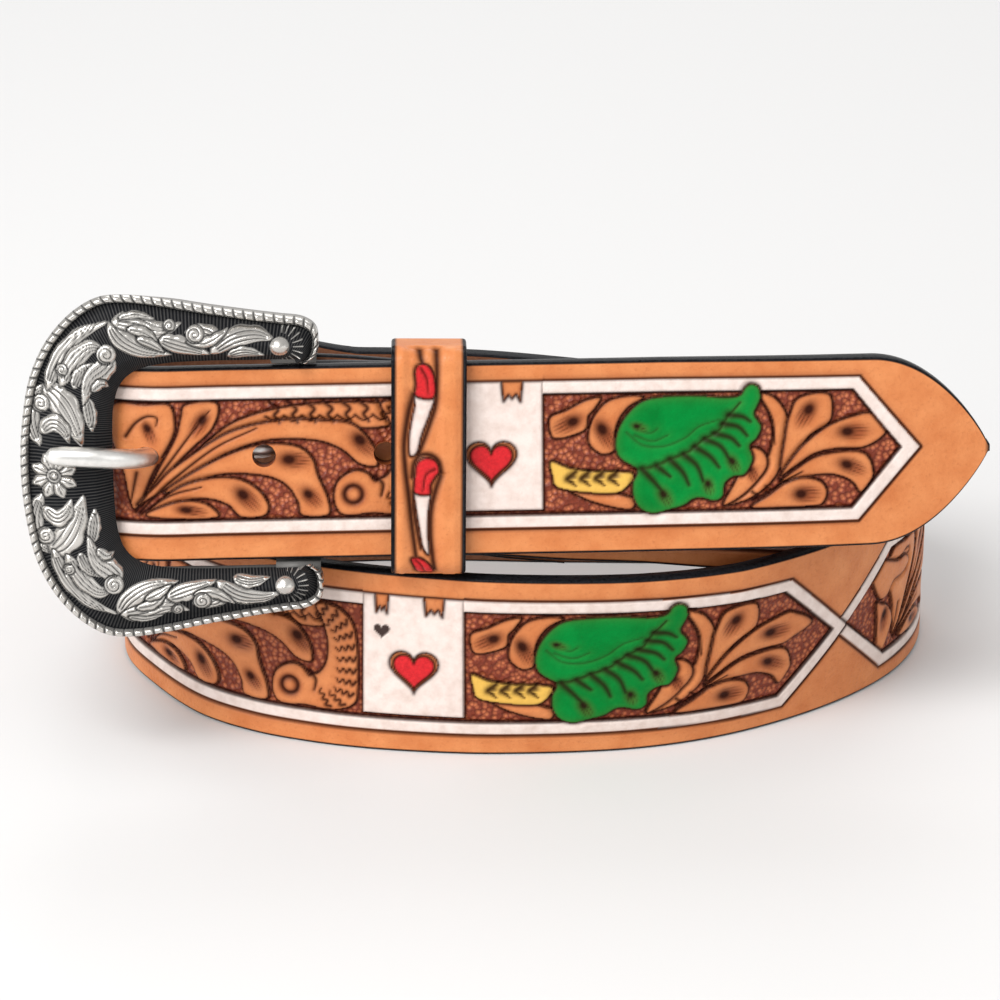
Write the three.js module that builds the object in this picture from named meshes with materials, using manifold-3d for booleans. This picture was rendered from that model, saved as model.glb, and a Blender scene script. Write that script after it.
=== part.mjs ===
// A western tooled belt, coiled twice round and fastened, standing on its lower edge.
// One leather strap is folded round the pin of a cast buckle. Its lower turn stands on the surface, and its
// punched end crosses in front, through the buckle, over the strap's own start and through a leather keeper.
// Millimetres, +Z up, +X along the front to the right, +Y away from the viewer.
// The origin is the middle of the bottom of the whole coil.
import * as THREE from "three";
import { mergeVertices } from "three/addons/utils/BufferGeometryUtils.js";
import Module from "manifold-3d";

const wasm = await Module();
wasm.setup();

// Leather
const strapWidth = 38;
const strapThickness = 3.6;
const skivedThickness = 2.2; // the thinned leather of the fold and the turned-back end
const edgeBevel = 0.7;
const layerGap = 0.3; // between leather layers that lie on each other
const tipLength = 23; // over which the strap narrows to its point
const tipFullness = 0.8; // less than 1 swells the point sooner
const tipRound = 1.6; // width left at the very point
const skiveStart = 3; // from the bar to where the fold starts to thicken
const skiveStep = 6; // length over which the strap grows from skived to full thickness
const slotLength = 10.5;
const slotHeight = 7;
const slotEase = 1.2; // between the prong's ring and the slot's end
const tabReach = 52; // from the bar to the end of the turned-back leather
const overhang = 134; // from the bar to the tip of the belt

// Coil
const coilLength = 164; // across the lower turn, between the middles of the leather
const coilDepth = 91.4; // front to back, the same way
const strapLean = 10; // degrees that the fastened front leans back
const lowerLean = 4; // and the lower turn under the keeper
const strapYaw = 2.4; // degrees that it turns away to the right
const strapRise = 0.15; // degrees that it climbs to the right
const frontProud = 0.5; // how far the billet stands in front of the lower turn, at the bar
const barShare = -0.543; // where the bar is, as a share of half the coil's length

// Holes
const holeDiameter = 4.5;
const prongHolePlay = 0.3; // round the prong, where it stretches its hole
const holePitch = 23.3;
const holeCount = 5;
const usedHole = 2; // the holes in front of the one that the prong is in
const holeLine = 20.6; // height of the holes above the strap's lower edge

// Buckle
const frameLength = 57.4;
const frameHeight = 67.2;
const windowShare = 0.61; // of the frame's length, from the bar to the left bar's inner edge
const frameInside = 41; // between the two arms, where the strap passes
const frameCrown = 3.4; // how far the middle of the casting stands proud of the billet's face
const frameBack = 2; // how far its back lies behind that face, along the arms
const frameBackLeft = -layerGap; // the left bar's back stays in front of the billet
const ropeWidth = 2.4;
const ropeProud = 1.5;
const ropePitch = 2.1;
const ropeNotch = 0.55;
const leafRelief = 0.7;
const leafDepth = 2; // of a leaf with the part of it inside the casting
const barDiameter = 4.2;
const barPlay = 0.3; // clearance round the bar, in the lugs and in the prong's ring
const foldPlay = 0.4; // clearance between the bar and the leather
const lugThickness = 1.6;
const lugWall = 1.9;
const barSink = 0.4; // from a lug's outer face to the bar's end
const prongDiameter = 3.9;
const prongRingWall = 1.4;
const prongRingWidth = 5;
const prongPlay = 0.35;
const prongHover = 0.4; // between the prong and the leaves under it
const prongRoom = 5.5; // from the hole to the left bar's inner edge, in which the prong rises
// From the bar to the hole that the prong is in.
const barToHole = windowShare * frameLength - prongRoom;
const prongReach = 47.3; // from the bar to the prong's tip

// Keeper
const keeperWidth = 14.4;
const keeperWall = 2.2;
const keeperHeadroom = 1.3; // above and below the strap inside the keeper
const keeperEase = 0.8; // in front of the billet
const keeperPlace = 25.1; // from the bar to the middle of the keeper
const keeperCorner = 3.4;
const keeperInsideCorner = 1.6;
const keeperBevel = 0.6;
const keeperYaw = 1; // degrees
const keeperTilt = 1;

// Screws
const screwPlaces = [10.5, 43]; // from the bar
const screwHead = 8.4;
const screwHeadDepth = 1.1;
const screwShank = 4;
const screwPlay = 0.3;
const screwSink = 0.3; // how deep the head lies below the leather's face

// Sides of round things
const holeSides = 16;
const pinSides = 20;
const ringSides = 24;

const down = Math.PI / 180; // radians in a degree

// The fastened front has a frame of its own: x along the strap from the bar, y into the coil from the
// billet's face, z up the leaning width from the billet's lower edge.
const billetMiddle = strapThickness / 2;
const startFront = strapThickness + layerGap;
const startMiddle = startFront + strapThickness / 2;
const startBack = startFront + strapThickness;
const foldFront = startFront + skivedThickness;
const barY = foldFront + foldPlay + barDiameter / 2;
const foldRadius = barDiameter / 2 + foldPlay + skivedThickness / 2;
const keeperBack = startBack + 2 * layerGap + keeperWall;
const tabMiddle = Math.max(keeperBack + layerGap + skivedThickness / 2, barY + foldRadius);
// The keeper's underside rests on the lower turn's upper edge.
const keeperDrop = keeperHeadroom + keeperWall;
const seatDepth = strapThickness + frontProud + strapWidth * Math.sin(lowerLean * down);
const frontLift =
  strapWidth + layerGap + keeperDrop * Math.cos(strapLean * down) +
  seatDepth * Math.sin(strapLean * down) - keeperPlace * Math.sin(strapRise * down);

const front = new THREE.Group();
front.rotation.set(-strapLean * down, -strapRise * down, strapYaw * down, "ZYX");
front.position.set((barShare * coilLength) / 2, -strapThickness / 2 - frontProud, frontLift);
front.updateMatrix();
const toFront = (x, y, z) => new THREE.Vector3(x, y, z).applyMatrix4(front.matrix);

// The strap's line: the middle of its thickness, at its lower edge.
// In the fastened front a station is measured along it from the bar, into the coil, and up.
// The billet stands more upright towards its tip, so its last stations have a lean of their own, in degrees.
const tabStations = [
  { along: tabReach, into: tabMiddle - 1.6, up: -4.6 },
  { along: tabReach - 10, into: tabMiddle - 0.9, up: -3.7 },
  { along: keeperPlace + 9, into: tabMiddle, up: -2.9 },
  { along: keeperPlace - 9, into: tabMiddle, up: -1.3 },
  { along: 7, into: (tabMiddle + barY + foldRadius) / 2, up: -0.4 },
  { along: 0, into: barY + foldRadius, up: 0 },
];
const startStations = [
  { along: 0, into: barY - foldRadius, up: 0 },
  { along: 3, into: barY - foldRadius, up: 0 },
  { along: 9, into: startMiddle, up: -0.3 },
  { along: 25, into: startMiddle, up: -0.9 },
  { along: 39, into: startMiddle + 0.1, up: -1.4 },
  { along: 52, into: startMiddle + 0.9, up: -2.7 },
  { along: 66, into: startMiddle + 2.7, up: -4 },
];
const billetStations = [
  { along: -28, into: billetMiddle, up: 0 },
  { along: -14, into: billetMiddle, up: 0 },
  { along: 0, into: billetMiddle, up: 0 },
  { along: 35, into: billetMiddle, up: 0 },
  { along: 70, into: billetMiddle, up: 0 },
  { along: 105, into: billetMiddle + 1, up: 0.1, lean: 7 },
  { along: overhang, into: billetMiddle + 2.8, up: 0.7, lean: 3 },
];
// Round the coil a station is a share of half the coil's length and half its depth, a share of the fastened
// front's height, and the lean in degrees, inwards counting up.
const lowerTurn = [
  { x: 0.47, y: 0.145, lift: 0.79, lean: 8 },
  { x: 0.65, y: 0.255, lift: 0.665, lean: 4 },
  { x: 0.8, y: 0.4, lift: 0.55, lean: 2 },
  { x: 0.905, y: 0.59, lift: 0.38, lean: 0 },
  { x: 0.875, y: 0.78, lift: 0.23, lean: 0 },
  { x: 0.725, y: 0.915, lift: 0.115, lean: 0 },
  { x: 0.48, y: 0.97, lift: 0.035, lean: 0 },
  { x: 0.3, y: 0.98, lift: 0, lean: 0 },
  { x: 0.055, y: 0.985, lift: 0, lean: 0 },
  { x: -0.25, y: 0.995, lift: 0, lean: 0 },
  { x: -0.555, y: 0.975, lift: 0, lean: 0 },
  { x: -0.8, y: 0.885, lift: 0, lean: 0 },
  { x: -0.955, y: 0.71, lift: 0, lean: 0 },
  { x: -1, y: 0.565, lift: 0, lean: 0 },
  { x: -0.985, y: 0.455, lift: 0, lean: 2 },
  { x: -0.92, y: 0.34, lift: 0, lean: 4 },
  { x: -0.79, y: 0.185, lift: 0, lean: 5 },
  { x: -0.66, y: 0.105, lift: 0, lean: 5 },
  { x: -0.535, y: 0.06, lift: 0, lean: 5 },
  { x: -0.41, y: 0.03, lift: 0, lean: 4 },
  { x: -0.23, y: 0.007, lift: 0, lean: 2 },
  { x: -0.065, y: 0, lift: 0, lean: 0 },
  { x: 0.255, y: 0.025, lift: 0, lean: -3 },
  { x: 0.485, y: 0.093, lift: 0, lean: -5 },
  { x: 0.72, y: 0.225, lift: 0, lean: -4 },
  { x: 0.88, y: 0.37, lift: 0, lean: -2 },
  { x: 0.96, y: 0.505, lift: 0, lean: -1 },
];
const upperTurn = [
  { x: 0.988, y: 0.645, lift: 0, lean: 0 },
  { x: 0.965, y: 0.8, lift: 0.005, lean: 0 },
  { x: 0.82, y: 0.95, lift: 0.025, lean: 0 },
  { x: 0.54, y: 1.025, lift: 0.08, lean: 0 },
  { x: 0.3, y: 1.035, lift: 0.12, lean: 0 },
  { x: 0.09, y: 1.04, lift: 0.165, lean: 0 },
  { x: -0.14, y: 1.047, lift: 0.2, lean: 0 },
  { x: -0.35, y: 1.043, lift: 0.215, lean: 0 },
  { x: -0.53, y: 1.03, lift: 0.235, lean: 0 },
  { x: -0.775, y: 0.965, lift: 0.355, lean: 0 },
  { x: -0.98, y: 0.81, lift: 0.49, lean: 1 },
  { x: -1.11, y: 0.59, lift: 0.65, lean: 2 },
  { x: -1.145, y: 0.36, lift: 0.8, lean: 5 },
  { x: -1.127, y: 0.216, lift: 0.885, lean: 7 },
  { x: -1.07, y: 0.092, lift: 0.945, lean: 9 },
  { x: -0.985, y: 0.01, lift: 0.978, lean: 10 },
];

const point = (place, thickness, lean, lift) => ({ place, thickness, lean, lift });
const inFront = (rows, thickness) =>
  rows.map((row) =>
    point(toFront(row.along, row.into, row.up), thickness(row.along), row.lean ?? strapLean, 1),
  );
const round = (rows) =>
  rows.map((row) => {
    const place = new THREE.Vector3(
      (row.x * coilLength) / 2,
      row.y * coilDepth,
      row.lift * frontLift,
    );
    return point(place, strapThickness, row.lean, row.lift);
  });
const foldSteps = 9;
const fold = Array.from({ length: foldSteps }, (_, i) => {
  const turn = ((i + 1) / (foldSteps + 1)) * Math.PI;
  const place = toFront(-foldRadius * Math.sin(turn), barY + foldRadius * Math.cos(turn), 0);
  return point(place, skivedThickness, strapLean, 1);
});
const startThickness = (along) =>
  THREE.MathUtils.lerp(
    skivedThickness,
    strapThickness,
    THREE.MathUtils.clamp((along - skiveStart) / skiveStep, 0, 1),
  );
const stations = [
  ...inFront(tabStations, () => skivedThickness),
  ...fold,
  ...inFront(startStations, startThickness),
  ...round(lowerTurn),
  ...round(upperTurn),
  ...inFront(billetStations, () => strapThickness),
];
const frontStations = tabStations.length + foldSteps + startStations.length - 1;
const frontUp = toFront(0, 0, 1).sub(toFront(0, 0, 0));
const line = new THREE.CatmullRomCurve3(stations.map((s) => s.place), false, "centripetal");

// The lift, as a share of the front's height, by which the section has turned square to its lean.
const squareLift = 0.125;

// The strap's frame at a share of the table: place, way along, way up the width, way out of the coil.
function strapFrame(share) {
  const place = line.getPoint(share);
  place.z = Math.max(0, place.z);
  const along = line.getTangent(share);
  const spot = share * (stations.length - 1);
  const index = Math.min(Math.floor(spot), stations.length - 2);
  const mix = (key) => THREE.MathUtils.lerp(stations[index][key], stations[index + 1][key], spot - index);
  const flat = new THREE.Vector3(along.x, along.y, 0).normalize();
  const outward = new THREE.Vector3(flat.y, -flat.x, 0);
  const lean = mix("lean") * down;
  const up = spot < frontStations
    ? frontUp.clone()
    : new THREE.Vector3(0, 0, Math.cos(lean)).addScaledVector(outward, -Math.sin(lean));
  up.addScaledVector(along, -up.dot(along)).normalize();
  // The lower turn stands on a level edge, and the rest is square to its lean.
  const square = new THREE.Vector3().crossVectors(along, up).normalize();
  const out = outward.lerp(square, Math.min(1, mix("lift") / squareLift)).normalize();
  return { place, along, up, out, thickness: mix("thickness") };
}

// Shares of the table at which the strap gets a section: close together where it bends.
const bendStep = 10 * down;
const longStep = 12;
const tipStep = 3;
const fineSteps = 2400;
function sectionShares() {
  const shares = [0];
  let last = line.getPoint(0);
  let lastWay = line.getTangent(0);
  for (let i = 1; i < fineSteps; i++) {
    const place = line.getPoint(i / fineSteps);
    const way = line.getTangent(i / fineSteps);
    const tip = last.distanceTo(stations.at(-1).place) < tipLength + longStep;
    if (way.angleTo(lastWay) > bendStep || place.distanceTo(last) > (tip ? tipStep : longStep)) {
      shares.push(i / fineSteps);
      last = place;
      lastWay = way;
    }
  }
  shares.push(1);
  return shares;
}

// A closed body through rings of points that all have the same count.
function loft(rings) {
  const count = rings[0].length;
  const vertices = rings.flat().flatMap((p) => [p.x, p.y, p.z]);
  const faces = [];
  for (let r = 0; r + 1 < rings.length; r++)
    for (let i = 0; i < count; i++) {
      const a = r * count + i;
      const b = r * count + ((i + 1) % count);
      faces.push(a, b, b + count, a, b + count, a + count);
    }
  const end = (rings.length - 1) * count;
  for (let i = 1; i + 1 < count; i++) {
    faces.push(0, i + 1, i);
    faces.push(end, end + i, end + i + 1);
  }
  const geometry = new THREE.BufferGeometry();
  geometry.setAttribute("position", new THREE.Float32BufferAttribute(vertices, 3));
  geometry.setIndex(faces);
  return geometry;
}

function solid(geometry) {
  const bare = geometry.clone();
  bare.deleteAttribute("normal");
  bare.deleteAttribute("uv");
  const merged = mergeVertices(bare, 1e-4);
  const mesh = new wasm.Mesh({
    numProp: 3,
    vertProperties: new Float32Array(merged.attributes.position.array),
    triVerts: new Uint32Array(merged.index.array),
  });
  return new wasm.Manifold(mesh);
}

function geometryOf(manifold) {
  const mesh = manifold.getMesh();
  const geometry = new THREE.BufferGeometry();
  geometry.setAttribute("position", new THREE.BufferAttribute(mesh.vertProperties, 3));
  geometry.setIndex(new THREE.BufferAttribute(mesh.triVerts, 1));
  return geometry;
}

function rod(radius, length, sides, way, middle) {
  const geometry = new THREE.CylinderGeometry(radius, radius, length, sides);
  geometry.applyQuaternion(new THREE.Quaternion().setFromUnitVectors(new THREE.Vector3(0, 1, 0), way));
  return geometry.translate(middle.x, middle.y, middle.z);
}

// The distance along the strap's line at each fine step, for placing holes.
const lengths = [0];
for (let i = 1; i <= fineSteps; i++)
  lengths.push(lengths[i - 1] + line.getPoint(i / fineSteps).distanceTo(line.getPoint((i - 1) / fineSteps)));
const strapLength = lengths[fineSteps];
const shareAt = (distance) => {
  const step = lengths.findIndex((length) => length >= distance);
  return (step - (lengths[step] - distance) / (lengths[step] - lengths[step - 1])) / fineSteps;
};

// An edge's bevel takes at most this share of the half thickness or half width.
const bevelShare = 0.6;
function strapRing(share) {
  const frame = strapFrame(share);
  const left = Math.max(0, strapLength - lengths[Math.round(share * fineSteps)]);
  const q = Math.min(1, left / tipLength);
  const half = Math.max(tipRound / 2, (strapWidth / 2) * Math.sin((Math.PI / 2) * q ** tipFullness));
  const t = frame.thickness / 2;
  const bevel = Math.min(edgeBevel, t * bevelShare, half * bevelShare);
  const low = strapWidth / 2 - half;
  const high = strapWidth / 2 + half;
  const corners = [
    [-t, high - bevel], [-t + bevel, high], [t - bevel, high], [t, high - bevel],
    [t, low + bevel], [t - bevel, low], [-t + bevel, low], [-t, low + bevel],
  ];
  return corners.map(([out, up]) =>
    frame.place.clone().addScaledVector(frame.out, out).addScaledVector(frame.up, up),
  );
}

// The prong's line in the fastened front: along from the bar, into the coil, up, and the half thickness.
const prongRadius = prongDiameter / 2;
const prongBack = startFront + prongPlay - layerGap + prongRadius;
const prongTop = -frameCrown - leafRelief - prongHover - prongRadius;
const prongStations = [
  { along: -3.1, into: prongBack + 0.2, up: 0, thick: 0.55 },
  { along: -6.5, into: prongBack, up: 0, thick: 0.9 },
  { along: -14, into: prongBack, up: 0, thick: 1 },
  { along: -barToHole + 7.4, into: prongBack - 0.1, up: 0, thick: 1 },
  { along: -barToHole + 3.8, into: prongBack - 1.3, up: 0, thick: 0.95 },
  { along: -barToHole, into: billetMiddle, up: 0, thick: 0.9 },
  { along: -barToHole - 3.6, into: billetMiddle - 4.1, up: 0.8, thick: 0.95 },
  { along: -barToHole - 6.6, into: prongTop + 1.1, up: 1.5, thick: 1 },
  { along: -barToHole - 10.2, into: prongTop, up: 1.9, thick: 1 },
  { along: -prongReach + 3.2, into: prongTop + 0.2, up: 2.1, thick: 0.97 },
  { along: -prongReach + 0.9, into: prongTop + 0.5, up: 2.15, thick: 0.8 },
  { along: -prongReach, into: prongTop + 0.6, up: 2.15, thick: 0.35 },
];
const prongSides = 10;
const prongFlat = 0.25; // how much less a thinned end narrows upwards than inwards
const prongSteps = 30;
function prongShaft(extra) {
  const path = new THREE.CatmullRomCurve3(
    prongStations.map((s) => new THREE.Vector3(s.along, s.into, holeLine + s.up)),
    false,
    "centripetal",
  );
  const rings = [];
  for (let i = 0; i <= prongSteps; i++) {
    const share = i / prongSteps;
    const spot = share * (prongStations.length - 1);
    const index = Math.min(Math.floor(spot), prongStations.length - 2);
    const [from, to] = [prongStations[index].thick, prongStations[index + 1].thick];
    const thick = THREE.MathUtils.lerp(from, to, spot - index);
    const way = path.getTangent(share);
    const side = new THREE.Vector3().crossVectors(way, new THREE.Vector3(0, 0, 1)).normalize();
    const up = new THREE.Vector3().crossVectors(side, way);
    const ring = [];
    for (let k = 0; k < prongSides; k++) {
      const angle = (k / prongSides) * 2 * Math.PI;
      const reach = prongRadius * thick + extra;
      const rise = prongRadius * Math.min(1, thick + prongFlat) + extra;
      ring.push(
        path.getPoint(share)
          .addScaledVector(side, -Math.cos(angle) * reach)
          .addScaledVector(up, Math.sin(angle) * rise),
      );
    }
    rings.push(ring);
  }
  return solid(loft(rings));
}

function makeStrap() {
  let strap = solid(loft(sectionShares().map(strapRing)));
  // Round holes along the billet, the used one stretched by the prong.
  const toUsed = strapLength - (overhang + barToHole);
  for (let i = 0; i < holeCount; i++) {
    const frame = strapFrame(shareAt(toUsed + (usedHole - i) * holePitch));
    const middle = frame.place.clone().addScaledVector(frame.up, holeLine);
    const punch = rod(holeDiameter / 2, strapThickness * 3, holeSides, frame.out, middle);
    strap = strap.subtract(solid(punch));
  }
  strap = strap.subtract(prongShaft(prongHolePlay).transform(front.matrix.elements));
  // The slot in the fold, open from the back of the turned leather to just behind the billet.
  const slotDepth = tabMiddle + skivedThickness * 2 - (strapThickness + layerGap / 2);
  const slot = new THREE.BoxGeometry(slotLength, slotDepth, slotHeight);
  const slotRight = barDiameter / 2 + prongRingWall + barPlay + slotEase;
  slot.translate(
    slotRight - slotLength / 2,
    strapThickness + layerGap / 2 + slotDepth / 2,
    holeLine,
  );
  strap = strap.subtract(solid(slot).transform(front.matrix.elements));
  for (const place of screwPlaces)
    strap = strap.subtract(screwSolid(place, screwPlay).transform(front.matrix.elements));
  return geometryOf(strap);
}

// A post screw through the strap's start and the turned-back end: it stands square to the fastened front.
function screwSolid(place, extra) {
  const spot = tabStations.findIndex((s) => s.along <= place);
  const [right, left] = [tabStations[spot - 1], tabStations[spot]];
  const blend = (place - left.along) / (right.along - left.along);
  const tabBack = THREE.MathUtils.lerp(left.into, right.into, blend) + skivedThickness / 2;
  const wide = screwHead / 2 + extra;
  const slope = Math.abs((right.into - left.into) / (right.along - left.along));
  const headFront = extra ? startFront - layerGap / 2 : startFront + screwSink;
  const headBack = startFront + screwSink + screwHeadDepth + extra;
  const flangeFront = tabBack + layerGap + slope * wide;
  const thin = screwShank / 2 + extra;
  const profile = [
    [0, headFront], [wide, headFront], [wide, headBack], [thin, headBack],
    [thin, flangeFront], ...(extra ? [] : [[wide, flangeFront], [wide, flangeFront + screwHeadDepth]]),
    [0, flangeFront + (extra ? 0 : screwHeadDepth)],
  ];
  const geometry = new THREE.LatheGeometry(profile.map(([r, y]) => new THREE.Vector2(r, y)), pinSides);
  return solid(geometry.translate(place, 0, strapWidth / 2));
}

// The buckle's outline: a row for each section of the upper arm, from its end round to the left bar's middle.
// Shares of the frame's length from the bar leftwards, and of half its height: outer edge, then inner edge.
const frameRows = [
  { outX: -0.043, outZ: 0.588, inX: 0.0, inZ: 0 },
  { outX: -0.077, outZ: 0.64, inX: 0.0, inZ: 0 },
  { outX: -0.084, outZ: 0.723, inX: 0.003, inZ: 0 },
  { outX: -0.074, outZ: 0.797, inX: 0.009, inZ: 0 },
  { outX: -0.034, outZ: 0.845, inX: 0.026, inZ: 0 },
  { outX: 0.045, outZ: 0.866, inX: 0.072, inZ: 0 },
  { outX: 0.129, outZ: 0.886, inX: 0.148, inZ: 0 },
  { outX: 0.288, outZ: 0.928, inX: 0.29, inZ: 0 },
  { outX: 0.443, outZ: 0.976, inX: 0.42, inZ: 0.015 },
  { outX: 0.553, outZ: 1, inX: 0.5, inZ: 0.055 },
  { outX: 0.64, outZ: 0.99, inX: 0.537, inZ: 0.1 },
  { outX: 0.717, outZ: 0.922, inX: 0.562, inZ: 0.155 },
  { outX: 0.788, outZ: 0.808, inX: 0.583, inZ: 0.235 },
  { outX: 0.84, outZ: 0.678, inX: 0.595, inZ: 0.33 },
  { outX: 0.881, outZ: 0.508, inX: 0.604, inZ: 0.45 },
  { outX: 0.906, outZ: 0.285, inX: 0.608, inZ: 0.63 },
  { outX: 0.916, outZ: 0.1, inX: windowShare, inZ: 0.87 },
];
const frameMiddle = strapWidth / 2;
function frameEdges() {
  const upper = frameRows.map((row) => ({
    outer: [-row.outX * frameLength, (row.outZ * frameHeight) / 2],
    inner: [-row.inX * frameLength, (frameInside / 2) * (1 - row.inZ)],
  }));
  const lower = upper.map(({ outer, inner }) => ({
    outer: [outer[0], -outer[1]],
    inner: [inner[0], -inner[1]],
  }));
  const rows = [...upper, ...lower.reverse()];
  const curve = (key) =>
    new THREE.CatmullRomCurve3(rows.map((r) => new THREE.Vector3(r[key][0], 0, frameMiddle + r[key][1])));
  return { outer: curve("outer"), inner: curve("inner") };
}

// The cast section from the outer to the inner edge: the rope rim, then the domed band and its inner lip.
// The band's rows are shares of the way across, which the rope takes the first quarter of.
const bandStart = 0.25;
const frameProfile = [
  { across: 0.32, proud: 0.2 },
  { across: 0.5, proud: 0.82 },
  { across: 0.66, proud: 1 },
  { across: 0.85, proud: 0.8 },
  { across: 1, proud: 0.12 },
];
// The rope's own section: its height at the outer foot and at the inner one, as shares of how proud it is.
const ropeFeet = { outer: 0.3, inner: 0.35 };
const ropeMost = 0.4; // the most of the casting's width that the rope takes
// Where the casting's back changes from the left bar's to the arms', as shares of the frame's length.
const backStep = { left: 0.54, arms: 0.35 };
function frameRing(outer, inner, share, notch) {
  const rim = outer.getPoint(share);
  const lip = inner.getPoint(share);
  const inward = lip.clone().sub(rim);
  const width = inward.length();
  inward.normalize();
  const at = (distance, into) => rim.clone().addScaledVector(inward, distance).setY(into);
  // The left bar's back stays in front of the billet; the arms are deeper, beside it.
  const deep = THREE.MathUtils.smoothstep(rim.x, -backStep.left * frameLength, -backStep.arms * frameLength);
  const back = THREE.MathUtils.lerp(frameBackLeft, frameBack, deep);
  const rope = Math.min(ropeWidth, width * ropeMost);
  const ring = [
    at(0, back), at(0, -ropeProud * ropeFeet.outer),
    at(rope / 2, -ropeProud + notch), at(rope, -ropeProud * ropeFeet.inner),
  ];
  for (const row of frameProfile)
    ring.push(at(
      rope + (width - rope) * ((row.across - bandStart) / (1 - bandStart)),
      -frameCrown * row.proud,
    ));
  ring.push(at(width, back));
  return ring.reverse();
}

function leafShape(length, width) {
  const shape = new THREE.Shape();
  shape.moveTo(0, 0);
  shape.quadraticCurveTo(length * 0.35, width * 0.75, length, 0);
  shape.quadraticCurveTo(length * 0.45, -width * 0.45, 0, 0);
  return shape;
}

// Raised leaves on the upper half, mirrored below: place along the frame's length and half height, way in
// degrees, length, width.
const leafRows = [
  { x: 0.11, z: 0.73, way: 185, length: 8, width: 5 },
  { x: 0.2, z: 0.75, way: 172, length: 9, width: 4 },
  { x: 0.33, z: 0.79, way: 190, length: 8.5, width: 4.5 },
  { x: 0.37, z: 0.72, way: 165, length: 9, width: 4 },
  { x: 0.5, z: 0.8, way: 200, length: 10, width: 5 },
  { x: 0.6, z: 0.62, way: 225, length: 9, width: 4.5 },
  { x: 0.66, z: 0.7, way: 245, length: 9, width: 4 },
  { x: 0.7, z: 0.5, way: 250, length: 9.5, width: 5 },
  { x: 0.77, z: 0.52, way: 268, length: 8.5, width: 3.6 },
  { x: 0.71, z: 0.33, way: 262, length: 7, width: 4 },
];
const petalCount = 8;
const petalLength = 4.4;
const petalWidth = 2.4;
const flowerPlace = 0.8; // from the bar, as a share of the frame's length

// How proud the plain casting stands at a place on it.
const crownSteps = 120;
function crownAt(outer, inner, x, z) {
  let best = { distance: Infinity, proud: 0 };
  for (let i = 0; i <= crownSteps; i++) {
    const rim = outer.getPoint(i / crownSteps);
    const lip = inner.getPoint(i / crownSteps);
    const width = rim.distanceTo(lip);
    const way = lip.clone().sub(rim).normalize();
    const reach = THREE.MathUtils.clamp((x - rim.x) * way.x + (z - rim.z) * way.z, 0, width);
    const distance = Math.hypot(rim.x + way.x * reach - x, rim.z + way.z * reach - z);
    if (distance < best.distance) {
      const within = (reach - ropeWidth) / (width - ropeWidth);
      const across = bandStart + (1 - bandStart) * within;
      const next = Math.max(1, frameProfile.findIndex((row) => row.across >= across));
      const [a, b] = [frameProfile[next - 1], frameProfile[next]];
      const mix = THREE.MathUtils.clamp((across - a.across) / (b.across - a.across), 0, 1);
      best = { distance, proud: frameCrown * THREE.MathUtils.lerp(a.proud, b.proud, mix) };
    }
  }
  return best.proud;
}

function makeFrame() {
  const { outer, inner } = frameEdges();
  const notches = Math.round(outer.getLength() / ropePitch);
  const rings = [];
  for (let i = 0; i <= notches * 2; i++)
    rings.push(frameRing(outer, inner, i / (notches * 2), i % 2 ? ropeNotch : 0));
  let frame = solid(loft(rings));
  const raise = (shape, x, z, angle, proud) => {
    const leaf = new THREE.ExtrudeGeometry(shape, {
      depth: leafDepth,
      bevelEnabled: false,
      curveSegments: 4,
    });
    leaf.rotateZ(angle).rotateX(Math.PI / 2).translate(x, -proud - leafRelief + leafDepth, z);
    frame = frame.add(solid(leaf));
  };
  for (const side of [1, -1])
    for (const row of leafRows) {
      const x = -row.x * frameLength;
      const z = (side * row.z * frameHeight) / 2;
      const way = side * row.way * down;
      const middleX = x + Math.cos(way) * row.length * 0.5;
      const middleZ = frameMiddle + z + Math.sin(way) * row.length * 0.5;
      const proud = crownAt(outer, inner, middleX, middleZ);
      raise(leafShape(row.length, row.width), x, frameMiddle + z, way, proud);
    }
  const flowerX = -flowerPlace * frameLength;
  const flowerProud = crownAt(outer, inner, flowerX, frameMiddle);
  for (let i = 0; i < petalCount; i++)
    raise(
      leafShape(petalLength, petalWidth), flowerX, frameMiddle,
      (i / petalCount) * 2 * Math.PI, flowerProud,
    );
  // The lugs behind the arms' ends, which hold the bar.
  const lugReach = barDiameter / 2 + barPlay + lugWall;
  const lugInside = (frameInside - strapWidth) / 4;
  for (const side of [1, -1]) {
    const z = frameMiddle + side * (strapWidth / 2 + lugInside + lugThickness / 2);
    const plate = new THREE.BoxGeometry(lugReach * 2, barY, lugThickness);
    plate.translate(0, barY / 2, z);
    const upwards = new THREE.Vector3(0, 0, 1);
    const boss = rod(lugReach, lugThickness, pinSides, upwards, new THREE.Vector3(0, barY, z));
    frame = frame.add(solid(plate)).add(solid(boss));
  }
  const length = barLength() + 2 * barPlay;
  const bore = rod(
    barDiameter / 2 + barPlay, length, pinSides,
    new THREE.Vector3(0, 0, 1), new THREE.Vector3(0, barY, frameMiddle),
  );
  return geometryOf(frame.subtract(solid(bore)));
}

const barLength = () => strapWidth + (frameInside - strapWidth) / 2 + 2 * (lugThickness - barSink);

function makeBar() {
  const ends = 0.4;
  const half = barLength() / 2;
  const r = barDiameter / 2;
  const profile = [
    [0, -half], [r - ends, -half], [r, -half + ends],
    [r, half - ends], [r - ends, half], [0, half],
  ];
  const geometry = new THREE.LatheGeometry(profile.map(([x, y]) => new THREE.Vector2(x, y)), pinSides);
  return geometryOf(solid(geometry.rotateX(Math.PI / 2).translate(0, barY, frameMiddle)));
}

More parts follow.
